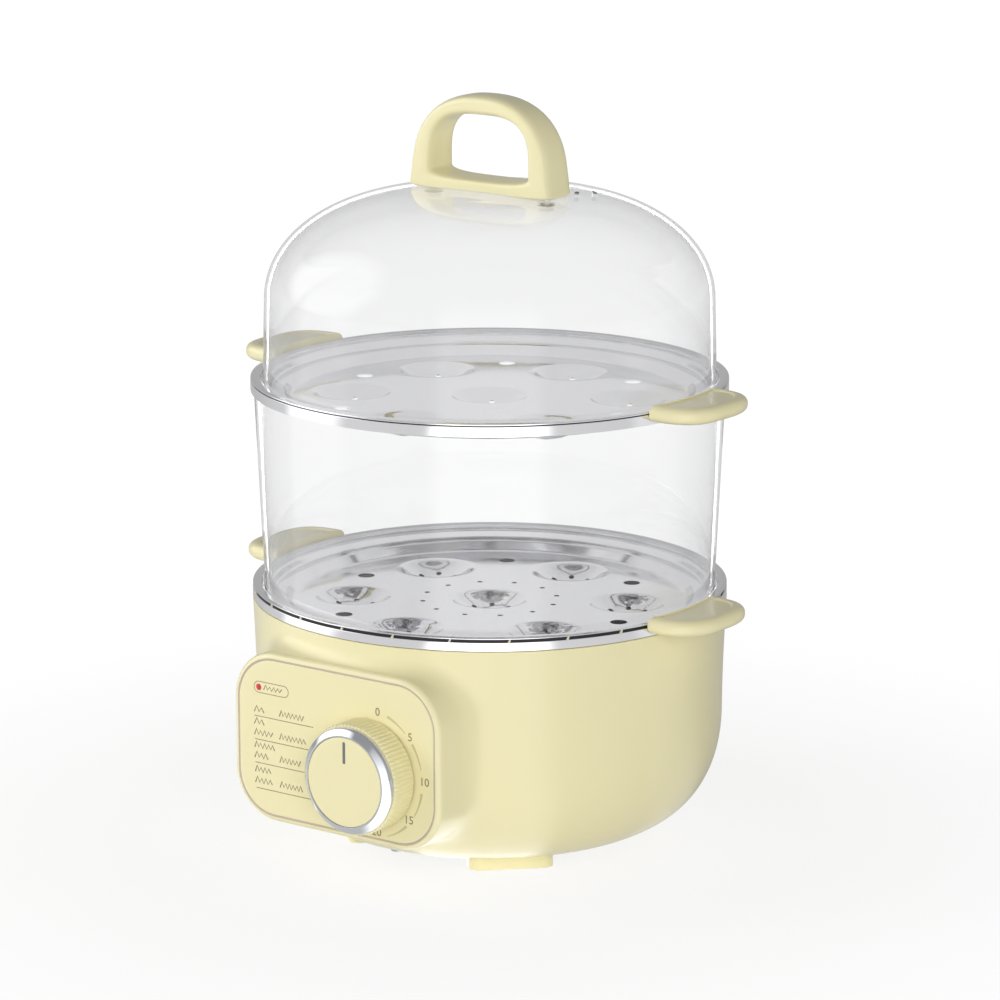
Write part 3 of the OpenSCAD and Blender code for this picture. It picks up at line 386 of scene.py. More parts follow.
metal = {"Metallic": 1.0}
slotFinish = {
    "cream_plastic": finish("creamPlastic", mouldedSkin, srgb(248, 240, 192), 0.006, Roughness=0.30,
                            Cloud=0.012, settings={"Coat Weight": 0.4, "Coat Roughness": 0.13}),
    "tray_steel": finish("traySteel", polishedSheet, srgb(238, 238, 240), 0.006, metal,
                         Roughness=0.10),
    "zinc_steel": finish("zincSteel", polishedSheet, srgb(190, 192, 196), 0.03, metal,
                         Roughness=0.3),
    "bright_chrome": finish("brightChrome", polishedSheet, srgb(208, 210, 214), 0.0, metal,
                            Roughness=0.05, Smear=0.02),
    "clear_plastic": clearFinish("clearPlastic", (0.95, 0.951, 0.954, 1), 1.01, 1.0),
    "seam_plastic": finish("seamPlastic", mouldedSkin, srgb(203, 190, 178), Roughness=0.3,
                           Cloud=0.06),
    "pointer_grey": finish("pointerGrey", mouldedSkin, srgb(120, 120, 122), Roughness=0.45,
                           Cloud=0.08),
    "lens_red": finish("lensRed", mouldedSkin, srgb(214, 38, 48), Roughness=0.12, Cloud=0.1,
                       settings={"Coat Weight": 0.6}),
    "neon_glass": finish("neonGlass", mouldedSkin, srgb(240, 196, 150), Roughness=0.1, Cloud=0.1,
                         settings={"Transmission Weight": 0.6}),
    "silicone": finish("silicone", mouldedSkin, srgb(226, 226, 218), 0.05, Roughness=0.55,
                       Cloud=0.05),
    "foot_rubber": finish("footRubber", mouldedSkin, srgb(92, 92, 94), 0.1, Roughness=0.8,
                          Cloud=0.2),
    "spreader_aluminium": finish("spreaderAluminium", mouldedSkin, srgb(190, 192, 194), 0.2, metal,
                                 Roughness=0.45, Cloud=0.08),
    "element_steel": finish("elementSteel", mouldedSkin, srgb(112, 110, 110), 0.15, metal,
                            Roughness=0.5, Cloud=0.3),
    "bell_brass": finish("bellBrass", polishedSheet, srgb(206, 178, 104), 0.03, metal,
                         Roughness=0.28),
    "dark_plastic": finish("darkPlastic", mouldedSkin, srgb(44, 44, 47), 0.08, Roughness=0.5,
                           Cloud=0.2),
    "white_plastic": finish("whitePlastic", mouldedSkin, srgb(232, 230, 222), 0.06, Roughness=0.45,
                            Cloud=0.05),
}
tick = finish("tickPlastic", mouldedSkin, srgb(226, 220, 196), Roughness=0.4)
ink = finish("printInk", mouldedSkin, srgb(146, 133, 106), Roughness=0.5, Cloud=0.3)
paleInk = finish("palePrintInk", mouldedSkin, srgb(212, 202, 158), Roughness=0.5, Cloud=0.2)
# grey painted shade for the walls of the lid's vents
ventShade = finish("ventShade", mouldedSkin, srgb(145, 146, 148), Roughness=0.5, Cloud=0.1)
# near-black painted shadow for the depth of the grooves under the brims
gap = finish("shadowGap", mouldedSkin, srgb(26, 26, 28), Roughness=0.6, Cloud=0.2)
clearSilicone = clearFinish("clearSilicone", (0.95, 0.95, 0.93, 1), 1.05, 0.2)

for part in frame["record"]["subparts"]:
    node = nodes[part["node"]]
    node.data.materials.clear()
    node.data.materials.append(slotFinish[part["material_slot"]])
nodes["lid_washers"].data.materials[0] = clearSilicone
nodes["lid_handle_screws"].data.materials[0] = slotFinish["tray_steel"]
print("finishes ready")

# housing: a turned body that a necked front for the panel grows out of

housingShape = {
    "bellyFlat": 60.0, "bellyPower": 2.3, "bottomZ": 6.0,
    "shoulderRadius": 108.5, "shoulderZ": 61.8, "topRadius": 110.2, "topZ": 114.3,
    "mouthRadius": 108.8, "mouthZ": 120.0, "coverRadius": 78.3,
    "neckWidth": 117.0, "neckHeight": 79.0, "neckCorner": 23.0, "neckZ": 64.0, "front": -116.5,
    "lip": 2.4, "recess": -114.5, "wall": 2.4, "blendOut": 7.0, "blendBack": 9.0, "blendPull": 1.5,
    "lowestRow": 8.5637, "coverZ": 10.2, "coverSeat": 65.0, "floorTop": 12.6,
    "ledgeZ": 102.6, "ledgeUnder": 99.6, "ledgeRadius": 97.1, "glandZ": 40.0, "glandRadius": 5.55,
    "glandHole": (90.0, 112.0),
    "across": 60, "rows": 60, "columns": 240, "halfPatch": 45,
}


def bodyRadius(z, inset=0.0):
    # belly: flat + (shoulder - flat) sqrt(1 - s^k)^(2/k), s the drop below the shoulder;
    # above it a slight flare
    h = housingShape
    s = np.clip((h["shoulderZ"] - z) / (h["shoulderZ"] - h["bottomZ"] - inset), 0, 1)
    deep = np.sqrt(np.maximum(1 - s ** h["bellyPower"], 0)) ** (2 / h["bellyPower"])
    t = np.clip((z - h["shoulderZ"]) / (h["topZ"] - h["shoulderZ"]), 0, 1)
    flare = (h["topRadius"] - h["shoulderRadius"]) * (1.5 * t ** 2 - 0.5 * t ** 3)
    return h["bellyFlat"] + (h["shoulderRadius"] - inset - h["bellyFlat"]) * deep + flare


def onBody(theta, z, inset=0.0):
    # (r sin a, -r cos a, z)
    r = bodyRadius(z, inset)
    return np.stack([r * np.sin(theta), -r * np.cos(theta), z], -1)


def neckOutline(offset, y=None):
    # rounded rectangle moved out by offset, one corner middle to the next: (x, z) or (x, y, z)
    h = housingShape
    r = h["neckCorner"]
    w, t = h["neckWidth"] / 2 - r, h["neckHeight"] / 2 - r
    corners = np.array([(-w, -t), (w, -t), (w, t), (-w, t)])
    out = []
    for k, n in enumerate((h["across"], h["rows"], h["across"], h["rows"])):
        p, q = corners[k], corners[(k + 1) % 4]
        arc, run = r * math.pi / 4, np.linalg.norm(q - p)
        d = (2 * arc + run) * np.arange(n) / n
        turn = np.clip(d / arc, 0, 1) + np.clip((d - arc - run) / arc, 0, 1)
        along = np.clip((d - arc) / run, 0, 1)[:, None]
        out.append(p + (q - p) * along + circle(r + offset, np.radians(225 + 90 * k + 45 * turn)))
    flat = np.concatenate(out) + [0, h["neckZ"]]
    if y is None:
        return flat
    return np.stack([flat[:, 0], np.zeros(len(flat)) + y, flat[:, 1]], -1)


def atOffset(offset, inset):
    # where the outline moved out by offset meets the body: y = -sqrt(r(z)^2 - x^2)
    flat = neckOutline(offset)
    y = -np.sqrt(bodyRadius(flat[:, 1], inset) ** 2 - flat[:, 0] ** 2)
    return np.stack([flat[:, 0], y, flat[:, 1]], -1)


def neckedWall(front, start, reach, back, rowZ, inset):
    # front rings, then a Hermite hollow p(t) from the neck's side to the body, then a patch out to
    # the edge of a window in the body, and the rest of the body round the back
    h = housingShape
    wall, meet = atOffset(start, inset), atOffset(start + reach, inset)
    slope = (atOffset(start + reach + 0.05, inset) - atOffset(start + reach - 0.05, inset)) / 0.1
    begin = np.maximum(wall[:, 1] - back, front[-1][:, 1] + 0.3)
    p0 = np.stack([wall[:, 0], begin, wall[:, 2]], -1)
    m0 = np.stack([0 * begin, h["blendPull"] * (meet[:, 1] - begin), 0 * begin], -1)
    m1 = h["blendPull"] * reach * slope
    rings = list(front)
    longest = (begin - front[-1][:, 1]).max()
    for t in np.linspace(0, 1, max(2, int(longest / 2.5)))[1:-1]:
        rings.append(front[-1] + (p0 - front[-1]) * t)
    for t in np.linspace(0, 1, 19):
        rings.append((2 * t ** 3 - 3 * t ** 2 + 1) * p0 + (t ** 3 - 2 * t ** 2 + t) * m0
                     + (3 * t ** 2 - 2 * t ** 3) * meet + (t ** 3 - t ** 2) * m1)
    edge, n, m = math.radians(h["halfPatch"]), h["across"], h["rows"]
    across = np.linspace(-edge, edge, n + 1)
    theta = np.concatenate([across[:-1], np.full(m, edge), across[:0:-1], np.full(m, -edge)])
    z = np.concatenate([np.full(n, rowZ[0]), rowZ[:-1], np.full(n, rowZ[-1]), rowZ[:0:-1]])
    turn = np.arctan2(meet[:, 0], -meet[:, 1])
    for t in np.linspace(0, 1, 11)[1:]:
        rings.append(onBody(turn + (theta - turn) * t, meet[:, 2] + (z - meet[:, 2]) * t, inset))
    rings = np.array(rings)
    m = rings.shape[1]
    points = np.concatenate([rings.reshape(-1, 3), [rings[0].mean(0)]])
    faces = [gridFaces(len(rings), m), fanFaces(np.arange(m), len(points) - 1)]
    around = np.linspace(edge, 2 * math.pi - edge, 3 * h["columns"] // 4 + 1)
    rest = onBody(around[None, :] + 0 * rowZ[:, None], rowZ[:, None] + 0 * around[None, :], inset)
    faces.append(gridFaces(len(rowZ), len(around), wrapCols=False, start=len(points)))
    return np.concatenate([points, rest.reshape(-1, 3)]), faces


def addHousing():
    # an outer and an inner necked wall, joined by a turned rim with a ledge and by a turned foot
    h = housingShape
    a = np.radians(np.linspace(0, 90, 13))
    front = [neckOutline(-h["lip"], h["recess"]), neckOutline(-h["lip"], h["front"] + 0.5)]
    lip = h["lip"] * np.stack([np.sin(a) - 1, 1 - np.cos(a)], -1) + [0, h["front"]]
    front += [neckOutline(*v) for v in lip]
    drop = h["shoulderZ"] - h["bottomZ"]
    b = np.arcsin(np.clip((h["shoulderZ"] - h["lowestRow"]) / drop, 0, 1) ** (h["bellyPower"] / 2))
    belly = h["shoulderZ"] - drop * np.sin(np.linspace(b, 0, 39)) ** (2 / h["bellyPower"])
    rowZ = np.concatenate([belly, np.linspace(h["shoulderZ"], h["topZ"] - 0.4, h["rows"] - 37)[1:]])
    outer, outerFaces = neckedWall(front, 0.0, h["blendOut"], h["blendBack"], rowZ, 0.0)
    frontIn = [neckOutline(-7.4, h["recess"] + 2.3), neckOutline(-7.0, h["recess"] + 2.4)]
    rowIn = np.linspace(h["floorTop"], h["ledgeUnder"], h["rows"] + 1)
    inner, innerFaces = neckedWall(frontIn, -7.0, 2.0, 3.0, rowIn, h["wall"])
    radii, radiiIn = bodyRadius(rowZ), bodyRadius(rowIn, h["wall"])
    mouth, mouthIn = h["mouthRadius"], h["mouthRadius"] - h["wall"]
    top = roundCorners([
        (radii[-1], rowZ[-1]), (h["topRadius"], h["topZ"], 0.35), (mouth, h["topZ"]),
        (mouth, h["mouthZ"], 0.5), (mouthIn, h["mouthZ"], 0.5), (mouthIn, h["ledgeZ"]),
        (h["ledgeRadius"], h["ledgeZ"]), (h["ledgeRadius"], h["ledgeUnder"]),
        (radiiIn[-1], rowIn[-1])], closed=False, steps=5)
    foot = np.array([
        (radii[0], rowZ[0]), (h["coverRadius"], h["coverZ"]), (h["coverSeat"], h["coverZ"]),
        (h["coverSeat"], h["floorTop"]), (radiiIn[0], rowIn[0])])
    points, faces = [outer, inner], outerFaces + [f + len(outer) for f in innerFaces]
    count = len(outer) + len(inner)
    spin = turns(h["columns"])
    for strip in (top, foot):
        r, z = strip[:, :1], strip[:, 1:]
        ring = np.stack([r * np.sin(spin), -r * np.cos(spin), z + 0 * spin], -1)
        points.append(ring.reshape(-1, 3))
        faces.append(gridFaces(len(strip), h["columns"], start=count))
        count += len(points[-1])
    bore = circle(h["glandRadius"], turns(24)) + [0, h["glandZ"]]
    hole = prisms("glandHole", [bore], *h["glandHole"], upright=False)
    return addPiece("housing", np.concatenate(points), faces, "base", "cream_plastic",
                    stands=["base_shell"], sharp=32, cut=hole)


addHousing()
print("housing made")

# panel plate, its seam, lens and printed marks

panelShape = {
    "seamWidth": 0.9, "seamDepth": 1.9, "lens": (-43.9, 86.7), "lensRadius": 1.5, "lensHole": 1.55,
    "dial": (19.6, 57.5), "dialArc": 29.4, "shaftHole": 3.6, "inkRise": 0.05,
    "rules": ((73.0, -46.6, -12.5), (62.0, -46.5, -11.2), (51.0, -46.3, -10.4),
              (39.0, -45.8, -9.4)),
    "words": ((75.0, -46.6, 5.6), (75.0, -32.0, 14.0), (69.3, -46.6, 5.6), (64.2, -46.6, 10.6),
              (64.2, -32.0, 15.0), (58.2, -46.6, 11.6), (53.4, -46.6, 7.6), (53.4, -32.0, 12.0),
              (46.8, -46.4, 9.0), (41.6, -46.4, 9.8), (41.6, -32.0, 13.0)),
    "pillRadius": 2.6, "pillEnds": (-43.9, -29.3), "pillZ": 86.75,
    "numbers": {"0": (24.2, 86.3), "5": (42.3, 77.7), "10": (50.2, 58.4), "15": (41.4, 39.4),
                "20": (23.3, 30.6)},
    "numberSize": 5.4,
    "arcs": ((70, 47), (36, 12), (-9, -34), (-46, -71)),     # degrees round the dial
}


def addPanel():
    # plate, seam and lens: outlines of the neck at the offset e, and a turned lens laid forward
    h, p = housingShape, panelShape
    y, back = h["front"], h["front"] + p["seamDepth"]
    e = -h["lip"] - p["seamWidth"] - 0.05
    line = ((e - 2, back), (e, back), (e, y + 0.2), (e - 0.06, y + 0.06), (e - 0.2, y),
            (e - 1.5, y), (e - 4, y))
    holes = [circle(radius, turns(24)) + centre
             for radius, centre in ((p["lensHole"], p["lens"]), (p["shaftHole"], p["dial"]))]
    points, faces = loft([neckOutline(*v) for v in line])
    addPiece("panelPlate", points, faces, "base", "cream_plastic", stands=["panel_plate"],
             cut=prisms("panelHoles", holes, y - 3, y + 4, upright=False))
    out, into = -h["lip"] - 0.02, -h["lip"] - p["seamWidth"] + 0.02
    line = ((out, back), (out, y + 0.25), (out - 0.18, y + 0.08), (into + 0.18, y + 0.08),
            (into, y + 0.25), (into, back))
    points, faces = loft([neckOutline(*v) for v in line], wrap=True)
    addPiece("panelSeam", points, faces, "base", "seam_plastic", stands=["panel_trim"])
    r, (x, z) = p["lensRadius"], p["lens"]
    dome = circle(1, np.radians(np.linspace(90, 0, 9))) * [r, 0.5]
    line = np.concatenate([dome, [[r, -2.0], [2.6, -2.0], [2.6, -4.6], [0, -4.6]]])
    points, faces = turned(line, 48, closed=False)
    points = np.stack([x + points[:, 0], y - points[:, 2], z + points[:, 1]], -1)
    addPiece("lampLens", points, faces, "base", "lens_red", stands=["lamp_lens"])


def scribble(x, z, length, tall, step=1.0):
    # a row of upright strokes joined at the foot and the head, with a taller first one
    count = max(4, int(length / step))
    k = np.arange(count)
    path = np.stack([x + length * k / (count - 1), z + tall * (k % 2)], -1)
    path[1, 1] += 0.3 * tall
    path[2::3, 1] += 0.12 * tall
    return path


def inkStrokes():
    # every printed line as a path of (x, z) points with a width along it
    p = panelShape
    strokes = [(np.array([(x0, z), (x1, z)]), 0.34) for z, x0, x1 in p["rules"]]
    strokes += [(scribble(x, z - 0.2, length, 2.3), 0.62) for z, x, length in p["words"]]
    (x0, x1), z = p["pillEnds"], p["pillZ"]     # outline round the lens and the mark beside it
    left = circle(p["pillRadius"], np.radians(np.linspace(90, 270, 17))) + [x0, z]
    strokes.append((np.concatenate([left, [x0 + x1, 2 * z] - left, left[:1]]), 0.32))
    strokes.append((scribble(-41.0, z - 0.95, 10.5, 1.8), 0.55))
    return strokes


def dialArcs():
    # arcs between the numbers of the dial, each wide at its start and thin at its end
    p = panelShape
    wide = np.linspace(1.3, 0.35, 24)
    return [(circle(p["dialArc"], np.radians(np.linspace(*ends, 24))) + p["dial"], wide)
            for ends in p["arcs"]]


def addStrokes(name, strokes, material):
    # each stroke: a flat ribbon p +- n w / 2 on the panel, with its edge turned down to the plate
    y = housingShape["front"] - panelShape["inkRise"]
    points, faces, count = [], [], 0
    for path, width in strokes:
        run = np.gradient(path, axis=0)
        run /= np.linalg.norm(run, axis=1, keepdims=True)
        side = np.stack([-run[:, 1], run[:, 0]], -1) * (np.zeros(len(path)) + width)[:, None] / 2
        rows = []
        for s, d in ((-1, 0.06), (-1, 0.0), (1, 0.0), (1, 0.06)):
            q = path + s * side
            rows.append(np.stack([q[:, 0], np.full(len(q), y + d), q[:, 1]], -1))
        n = len(path)
        points.append(np.concatenate(rows))
        faces.append(gridFaces(4, n, wrapRows=True, wrapCols=False, start=count))
        ends = [[0, n, 2 * n, 3 * n], [4 * n - 1, 3 * n - 1, 2 * n - 1, n - 1]]
        faces.append(count + np.array(ends))
        count += 4 * n
    addPiece(name, np.concatenate(points), faces, "base", "pointer_grey", sharp=30,
             material=material)


def addInk():
    # the printed lines, the dial's arcs and its numbers
    addStrokes("panelInk", inkStrokes(), ink)
    addStrokes("dialArcs", dialArcs(), paleInk)
    y = housingShape["front"] - panelShape["inkRise"]
    for text, (x, z) in panelShape["numbers"].items():
        curve = bpy.data.curves.new("mark", "FONT")
        curve.body, curve.size = text, panelShape["numberSize"] * mm
        curve.align_x = curve.align_y = "CENTER"
        curve.extrude, curve.resolution_u = 0.04 * mm, 4
        made = bpy.data.objects.new("mark", curve)
        bpy.context.scene.collection.objects.link(made)
        bpy.context.view_layer.update()
        depsgraph = bpy.context.evaluated_depsgraph_get()
        mesh = bpy.data.meshes.new_from_object(made.evaluated_get(depsgraph))
        bpy.data.objects.remove(made)
        co = np.zeros(len(mesh.vertices) * 3)
        mesh.vertices.foreach_get("co", co)
        co = co.reshape(-1, 3)
        place = [co[:, 0] + x * mm, -co[:, 2] + (y + 0.01 + axisY) * mm, co[:, 1] + z * mm]
        mesh.vertices.foreach_set("co", np.stack(place, -1).ravel())
        mesh.update()
        mesh.materials.clear()
        mesh.materials.append(ink)
        mark = bpy.data.objects.new("dialMark" + text, mesh)
        bpy.context.scene.collection.objects.link(mark)
        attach(mark, "base")


addPanel()
addInk()
print("panel made")

# trays

trayShape = {
    "rim": {"lower": 119.6, "upper": 216.4},     # heights of the two rim lines
    "groove": {"lower": (-1.0, 0.45), "upper": (-0.3, 0.2)},     # its two edges, from the rim line
    # heights of the near-black band of painted shadow in each groove, from the rim line
    "grooveShade": {"lower": (-0.97, 0.42), "upper": (-0.28, 0.17)},
    "sheet": 0.7, "floor": -9.0, "floorRadius": 88.0, "segments": 288,
    "seatRadius": 17.0, "seatDepth": 7.0, "seatCircle": 64.0, "seatEdge": 0.9, "seatReach": 22.0,
    "seatFade": 8.0, "seatRings": (4.0, 6.0, 12.0, 14.0, 15.2, 16.0, 16.7, 17.4, 18.2, 19.4, 21.0),
    "drainHole": 1.3, "drainCircle": 31.5, "seatDrains": 9, "steamHole": 4.0, "steamCircle": 73,
    "lattice": 4.0, "edgeRings": (84.0, 86.4),
}


def seatCentres():
    # one seat in the middle and six round it
    round6 = circle(trayShape["seatCircle"], np.radians(30 + 60 * np.arange(6)))
    return np.concatenate([[[0, 0]], round6])


def trayHoles():
    # (x, y, radius) of every hole in the floor
    t = trayShape
    six = np.radians(60 * np.arange(6))
    small = [circle(t["drainCircle"], np.radians(15 + 30 * np.arange(12)))]
    for c in seatCentres():
        small += [c[None], c + circle(t["seatDrains"], six)]
    small, large = np.concatenate(small), circle(t["steamCircle"], six)
    return np.concatenate([np.column_stack([small, np.full(len(small), t["drainHole"])]),
                           np.column_stack([large, np.full(len(large), t["steamHole"])])])


def floorHeight(x, y):
    # floor - s, with s = (c + sqrt(c^2 + edge^2)) / 2, c = sqrt(R^2 - d^2) - (R - depth) in a seat
    t = trayShape
    big = (t["seatRadius"] ** 2 + t["seatDepth"] ** 2) / (2 * t["seatDepth"])
    left = (np.sqrt(t["seatFade"] ** 2 + t["seatEdge"] ** 2) - t["seatFade"]) / 2
    low = np.zeros_like(x)
    for cx, cy in seatCentres():
        d = np.hypot(x - cx, y - cy)
        c = np.sqrt(np.maximum(big ** 2 - d ** 2, 0)) - (big - t["seatDepth"])
        c = np.where(d > t["seatReach"], -t["seatFade"], c)
        s = (c + np.sqrt(c ** 2 + t["seatEdge"] ** 2)) / 2
        low = low + np.where(d < t["seatReach"], s - left, 0)
    return t["floor"] - low


def sparePoints(holes):
    # points in the floor for its triangles: rings round each seat, a lattice between, edge rings
    t = trayShape
    seats = seatCentres()
    spare = []
    for centre in seats:
        for r in t["seatRings"]:
            k = 48 if r > 11 else 20
            spare.append(centre + circle(r, 2 * math.pi * (np.arange(k) + (r * 10 % 2) / 4) / k))
    g = np.arange(-t["floorRadius"], t["floorRadius"] + 0.1, t["lattice"])
    gx, gy = np.meshgrid(g, g)
    gx = gx + t["lattice"] / 2 * (np.arange(len(g)) % 2)[:, None]
    edges = [circle(r, turns(t["segments"])[::2]) for r in t["edgeRings"]]
    loose = np.concatenate([np.stack([gx.ravel(), gy.ravel()], -1)] + edges)
    near = np.hypot(*(loose[:, None] - seats[None]).transpose(2, 0, 1)).min(1)
    spare = np.concatenate(spare + [loose[near >= t["seatReach"] + 0.5]])
    keep = np.hypot(*spare.T) < t["floorRadius"] - 1.0
    for x, y, r in holes:
        keep &= np.hypot(spare[:, 0] - x, spare[:, 1] - y) > r + 0.45
    return spare[keep]


def trayFloor():
    # triangles round the holes on both sides of the sheet: z = floorHeight, and that less the
    # sheet's thickness along the normal, with the holes' walls between them
    t = trayShape
    holes = trayHoles()
    loops, points = [np.arange(t["segments"])], [circle(t["floorRadius"], turns(t["segments"]))]
    count = t["segments"]
    for x, y, r in holes:
        k = 28 if r > 2 else 14
        points.append(circle(r, turns(k)) + [x, y])
        loops.append(count + np.arange(k))
        count += k
    flat = np.concatenate(points + [sparePoints(holes)])
    made = delaunay_2d_cdt(flat.tolist(), [], [loop.tolist() for loop in loops], 1, 1e-5)
    verts, tris = np.array(made[0], float), np.array(made[2])
    mid = verts[tris].mean(1)
    inHole = np.zeros(len(tris), bool)
    for x, y, r in holes:
        inHole |= np.hypot(mid[:, 0] - x, mid[:, 1] - y) < r * math.cos(math.pi / 14) - 0.02
    tris = tris[~inHole]
    x, y = verts.T
    h = 0.02     # step of the slopes
    slopeX = (floorHeight(x + h, y) - floorHeight(x - h, y)) / (2 * h)
    slopeY = (floorHeight(x, y + h) - floorHeight(x, y - h)) / (2 * h)
    normal = np.column_stack([-slopeX, -slopeY, np.ones(len(verts))])
    normal /= np.linalg.norm(normal, axis=1, keepdims=True)
    normal[np.hypot(x, y) > t["floorRadius"] - 0.5] = (0, 0, 1)
    top = np.column_stack([verts, floorHeight(x, y)])
    # walls of the holes: sides of triangles that only one triangle uses
    sides = np.concatenate([tris[:, [0, 1]], tris[:, [1, 2]], tris[:, [2, 0]]])
    _, back, times = np.unique(np.sort(sides, 1), axis=0, return_inverse=True, return_counts=True)
    border = sides[times[back.ravel()] == 1]
    rim = border[np.hypot(*verts[border].mean(1).T) < t["floorRadius"] - 1]
    m = len(verts)
    walls = np.column_stack([rim[:, 1], rim[:, 0], rim[:, 0] + m, rim[:, 1] + m])
    return np.concatenate([top, top - t["sheet"] * normal]), [tris, tris[:, ::-1] + m, walls]


def addTray(level):
    # the pressed floor and round it a turned wall, brim and skirt of (r, z) below the rim line
    t = trayShape
    g0, g1 = t["groove"][level]
    floor, faces = trayFloor()
    upper = roundCorners([
        (88.0, -9.0), (91.7, -9.0, 2.0), (94.9, -4.6, 1.4), (100.5, -4.6, 1.2), (101.3, -0.9, 0.9),
        (105.4, -0.9, 0.45), (105.4, 1.0, 0.4), (106.4, 1.3, 0.8), (108.4, 1.25, 1.6),
        (110.05, 0.85, 0.5), (110.05, g1, 0.12), (109.1, g1 - 0.05, 0.05), (109.1, g0 + 0.05, 0.05),
        (110.1, g0, 0.25), (110.1, -5.0, 0.2), (109.5, -5.0)], closed=False, steps=7)
    lower = roundCorners([
        (109.45, -4.95), (109.4, -1.3, 0.2), (108.7, -1.0, 0.1), (108.7, 0.5, 0.2),
        (106.1, 0.5, 0.2), (106.1, -1.6, 0.5), (101.9, -1.6, 0.4), (101.1, -5.3, 1.2),
        (95.2, -5.3, 1.4), (92.1, -9.7, 2.2), (88.0, -9.7)], closed=False, steps=5)
    wall, wallFaces = turned(np.concatenate([upper, lower]), t["segments"], closed=False)
    points = np.concatenate([floor, wall]) + [0, 0, t["rim"][level]]
    faces.append(wallFaces[0] + len(floor))
    addPiece(level + "TraySheet", points, faces, level + "_tray_set", "tray_steel",
             stands=[level + "_tray"], sharp=50)


def addGrooveShadow(level):
    # a turned near-black band of painted shadow in the depth of the groove under the brim
    low, high = trayShape["grooveShade"][level]
    loop = np.array([(109.12, low), (109.12, high), (109.35, high), (109.35, low)])
    points, faces = turned(loop + [0, trayShape["rim"][level]], 240)
    addPiece(level + "Groove", points, faces, level + "_tray_set", "dark_plastic", sharp=50,
             material=gap)


tickShape = {"count": 26, "first": -49.0, "radii": (109.2, 110.08),
             "corners": ((-0.8, -1.02), (0.3, -1.02), (0.7, 0.52), (0.0, 0.52))}     # (t, z)


def addTicks():
    # small cream ribs across the lower groove: (r cos a - t sin a, r sin a + t cos a, z)
    k = tickShape
    a = np.radians(k["first"] + 360 / k["count"] * np.arange(k["count"]))[:, None, None]
    r = np.array(k["radii"])[:, None]
    t, z = np.array(k["corners"]).T
    points = np.stack([r * np.cos(a) - t * np.sin(a), r * np.sin(a) + t * np.cos(a),
                       z + trayShape["rim"]["lower"] + 0 * r * a], -1)
    block = np.array([(0, 1, 2, 3), (7, 6, 5, 4), (0, 4, 5, 1), (1, 5, 6, 2), (2, 6, 7, 3),
                      (3, 7, 4, 0)])
    faces = (block + 8 * np.arange(k["count"])[:, None, None]).reshape(-1, 4)
    addPiece("grooveTicks", points, [faces], "lower_tray_set", "cream_plastic", sharp=30,
             material=tick)


for make in (addTray, addGrooveShadow):
    for level in ("lower", "upper"):
        make(level)
addTicks()
print("trays made")

# handles of the trays

tabShape = {"halfLength": 26.5, "tip": 132.59, "seat": 110.4, "top": 3.7, "height": 7.6,
            "edge": 3.5, "bulge": 3.2, "lip": 1.3, "dish": 0.7, "dishRun": 1.2}


def addTab(level, hand, side):
    # rings of x = x0 + (tip - x0) cos(a)^(2/k), y = l sin(a)^(2/k), moved in and up along a rounded
    # edge, then down into a shallow dish
    t = tabShape
    low, flat, e = t["top"] - t["height"], t["top"] - t["dish"], t["edge"]
    a = np.radians(np.linspace(0, 90, 13))
    s = np.linspace(0, 1, 9)[1:]
    out, up = e * (1 - np.sin(a)), e * (1 - np.cos(a))
    dip = t["dish"] * (1 - np.cos(math.pi * s)) / 2
    inset = np.concatenate([[14.0, 8.0], out, out[::-1], [e + t["lip"]],
                            e + t["lip"] + t["dishRun"] * s, [9.0, 14.0]])
    height = np.concatenate([[low, low], low + up, t["top"] - up[::-1], [t["top"]], t["top"] - dip,
                             [flat, flat]])
    b = np.radians(np.linspace(-90, 90, 97))
    rings = []
    for d, z in zip(inset, height):
        half, tip = t["halfLength"] - d, t["tip"] - d
        x0 = math.sqrt(t["seat"] ** 2 - half ** 2)
        outer = np.stack([x0 + (tip - x0) * np.maximum(np.cos(b), 0) ** (2 / t["bulge"]),
                          half * power(np.sin(b), 2 / t["bulge"])], -1)
        inner = circle(t["seat"], math.asin(half / t["seat"]) * np.linspace(1, -1, 33)[1:-1])
        line = np.concatenate([outer, inner])
        rings.append(np.column_stack([line, np.full(len(line), z)]))
    points, faces = loft(rings)
    points = points * [side, 1, 1] + [0, 0, trayShape["rim"][level]]
    addPiece(level + hand.title() + "Tab", points, faces, level + "_tray_set", "cream_plastic",
             stands=["_".join((level, hand, "handle"))], sharp=45)


for level in ("lower", "upper"):
    addTab(level, "left", -1)
    addTab(level, "right", 1)
print("tab handles made")

# clear ring and lid

ringShape = {"footZ": 118.9, "topZ": 216.8, "footRadius": 104.4, "topRadius": 108.8, "wall": 2.4,
             "round": 0.6, "segments": 240}


def addRing():
    # a tapered tube with rounded edges, turned
    s = ringShape
    corners = ((s["footRadius"], s["footZ"]), (s["topRadius"], s["topZ"]),
               (s["topRadius"] - s["wall"], s["topZ"]), (s["footRadius"] - s["wall"], s["footZ"]))
    loop = roundCorners([(*c, s["round"]) for c in corners], steps=5)
    addPiece("clearRing", *turned(loop, s["segments"]), "ring", "clear_plastic",
             stands=["steam_ring"], sharp=60)


lidShape = {"footZ": 215.7, "sideZ": 252.7, "topZ": 303.4, "sideRadius": 103.4, "footRadius": 104.4,
            "flat": 30.0, "crownRise": 1.0, "bend": 2.09, "wall": 2.4, "footRound": 0.7,
            "segments": 240, "vents": ((33.1, 22.1), (36.0, 31.9)), "ventHalf": 1.4,
            "ventRadius": 1.1,
            # rings of the thin grey band of painted shade in each vent
            "ventBand": ((1.09, 0.9), (1.09, 0.05), (0.86, 0.05), (0.86, 0.9))}     # (r, depth)


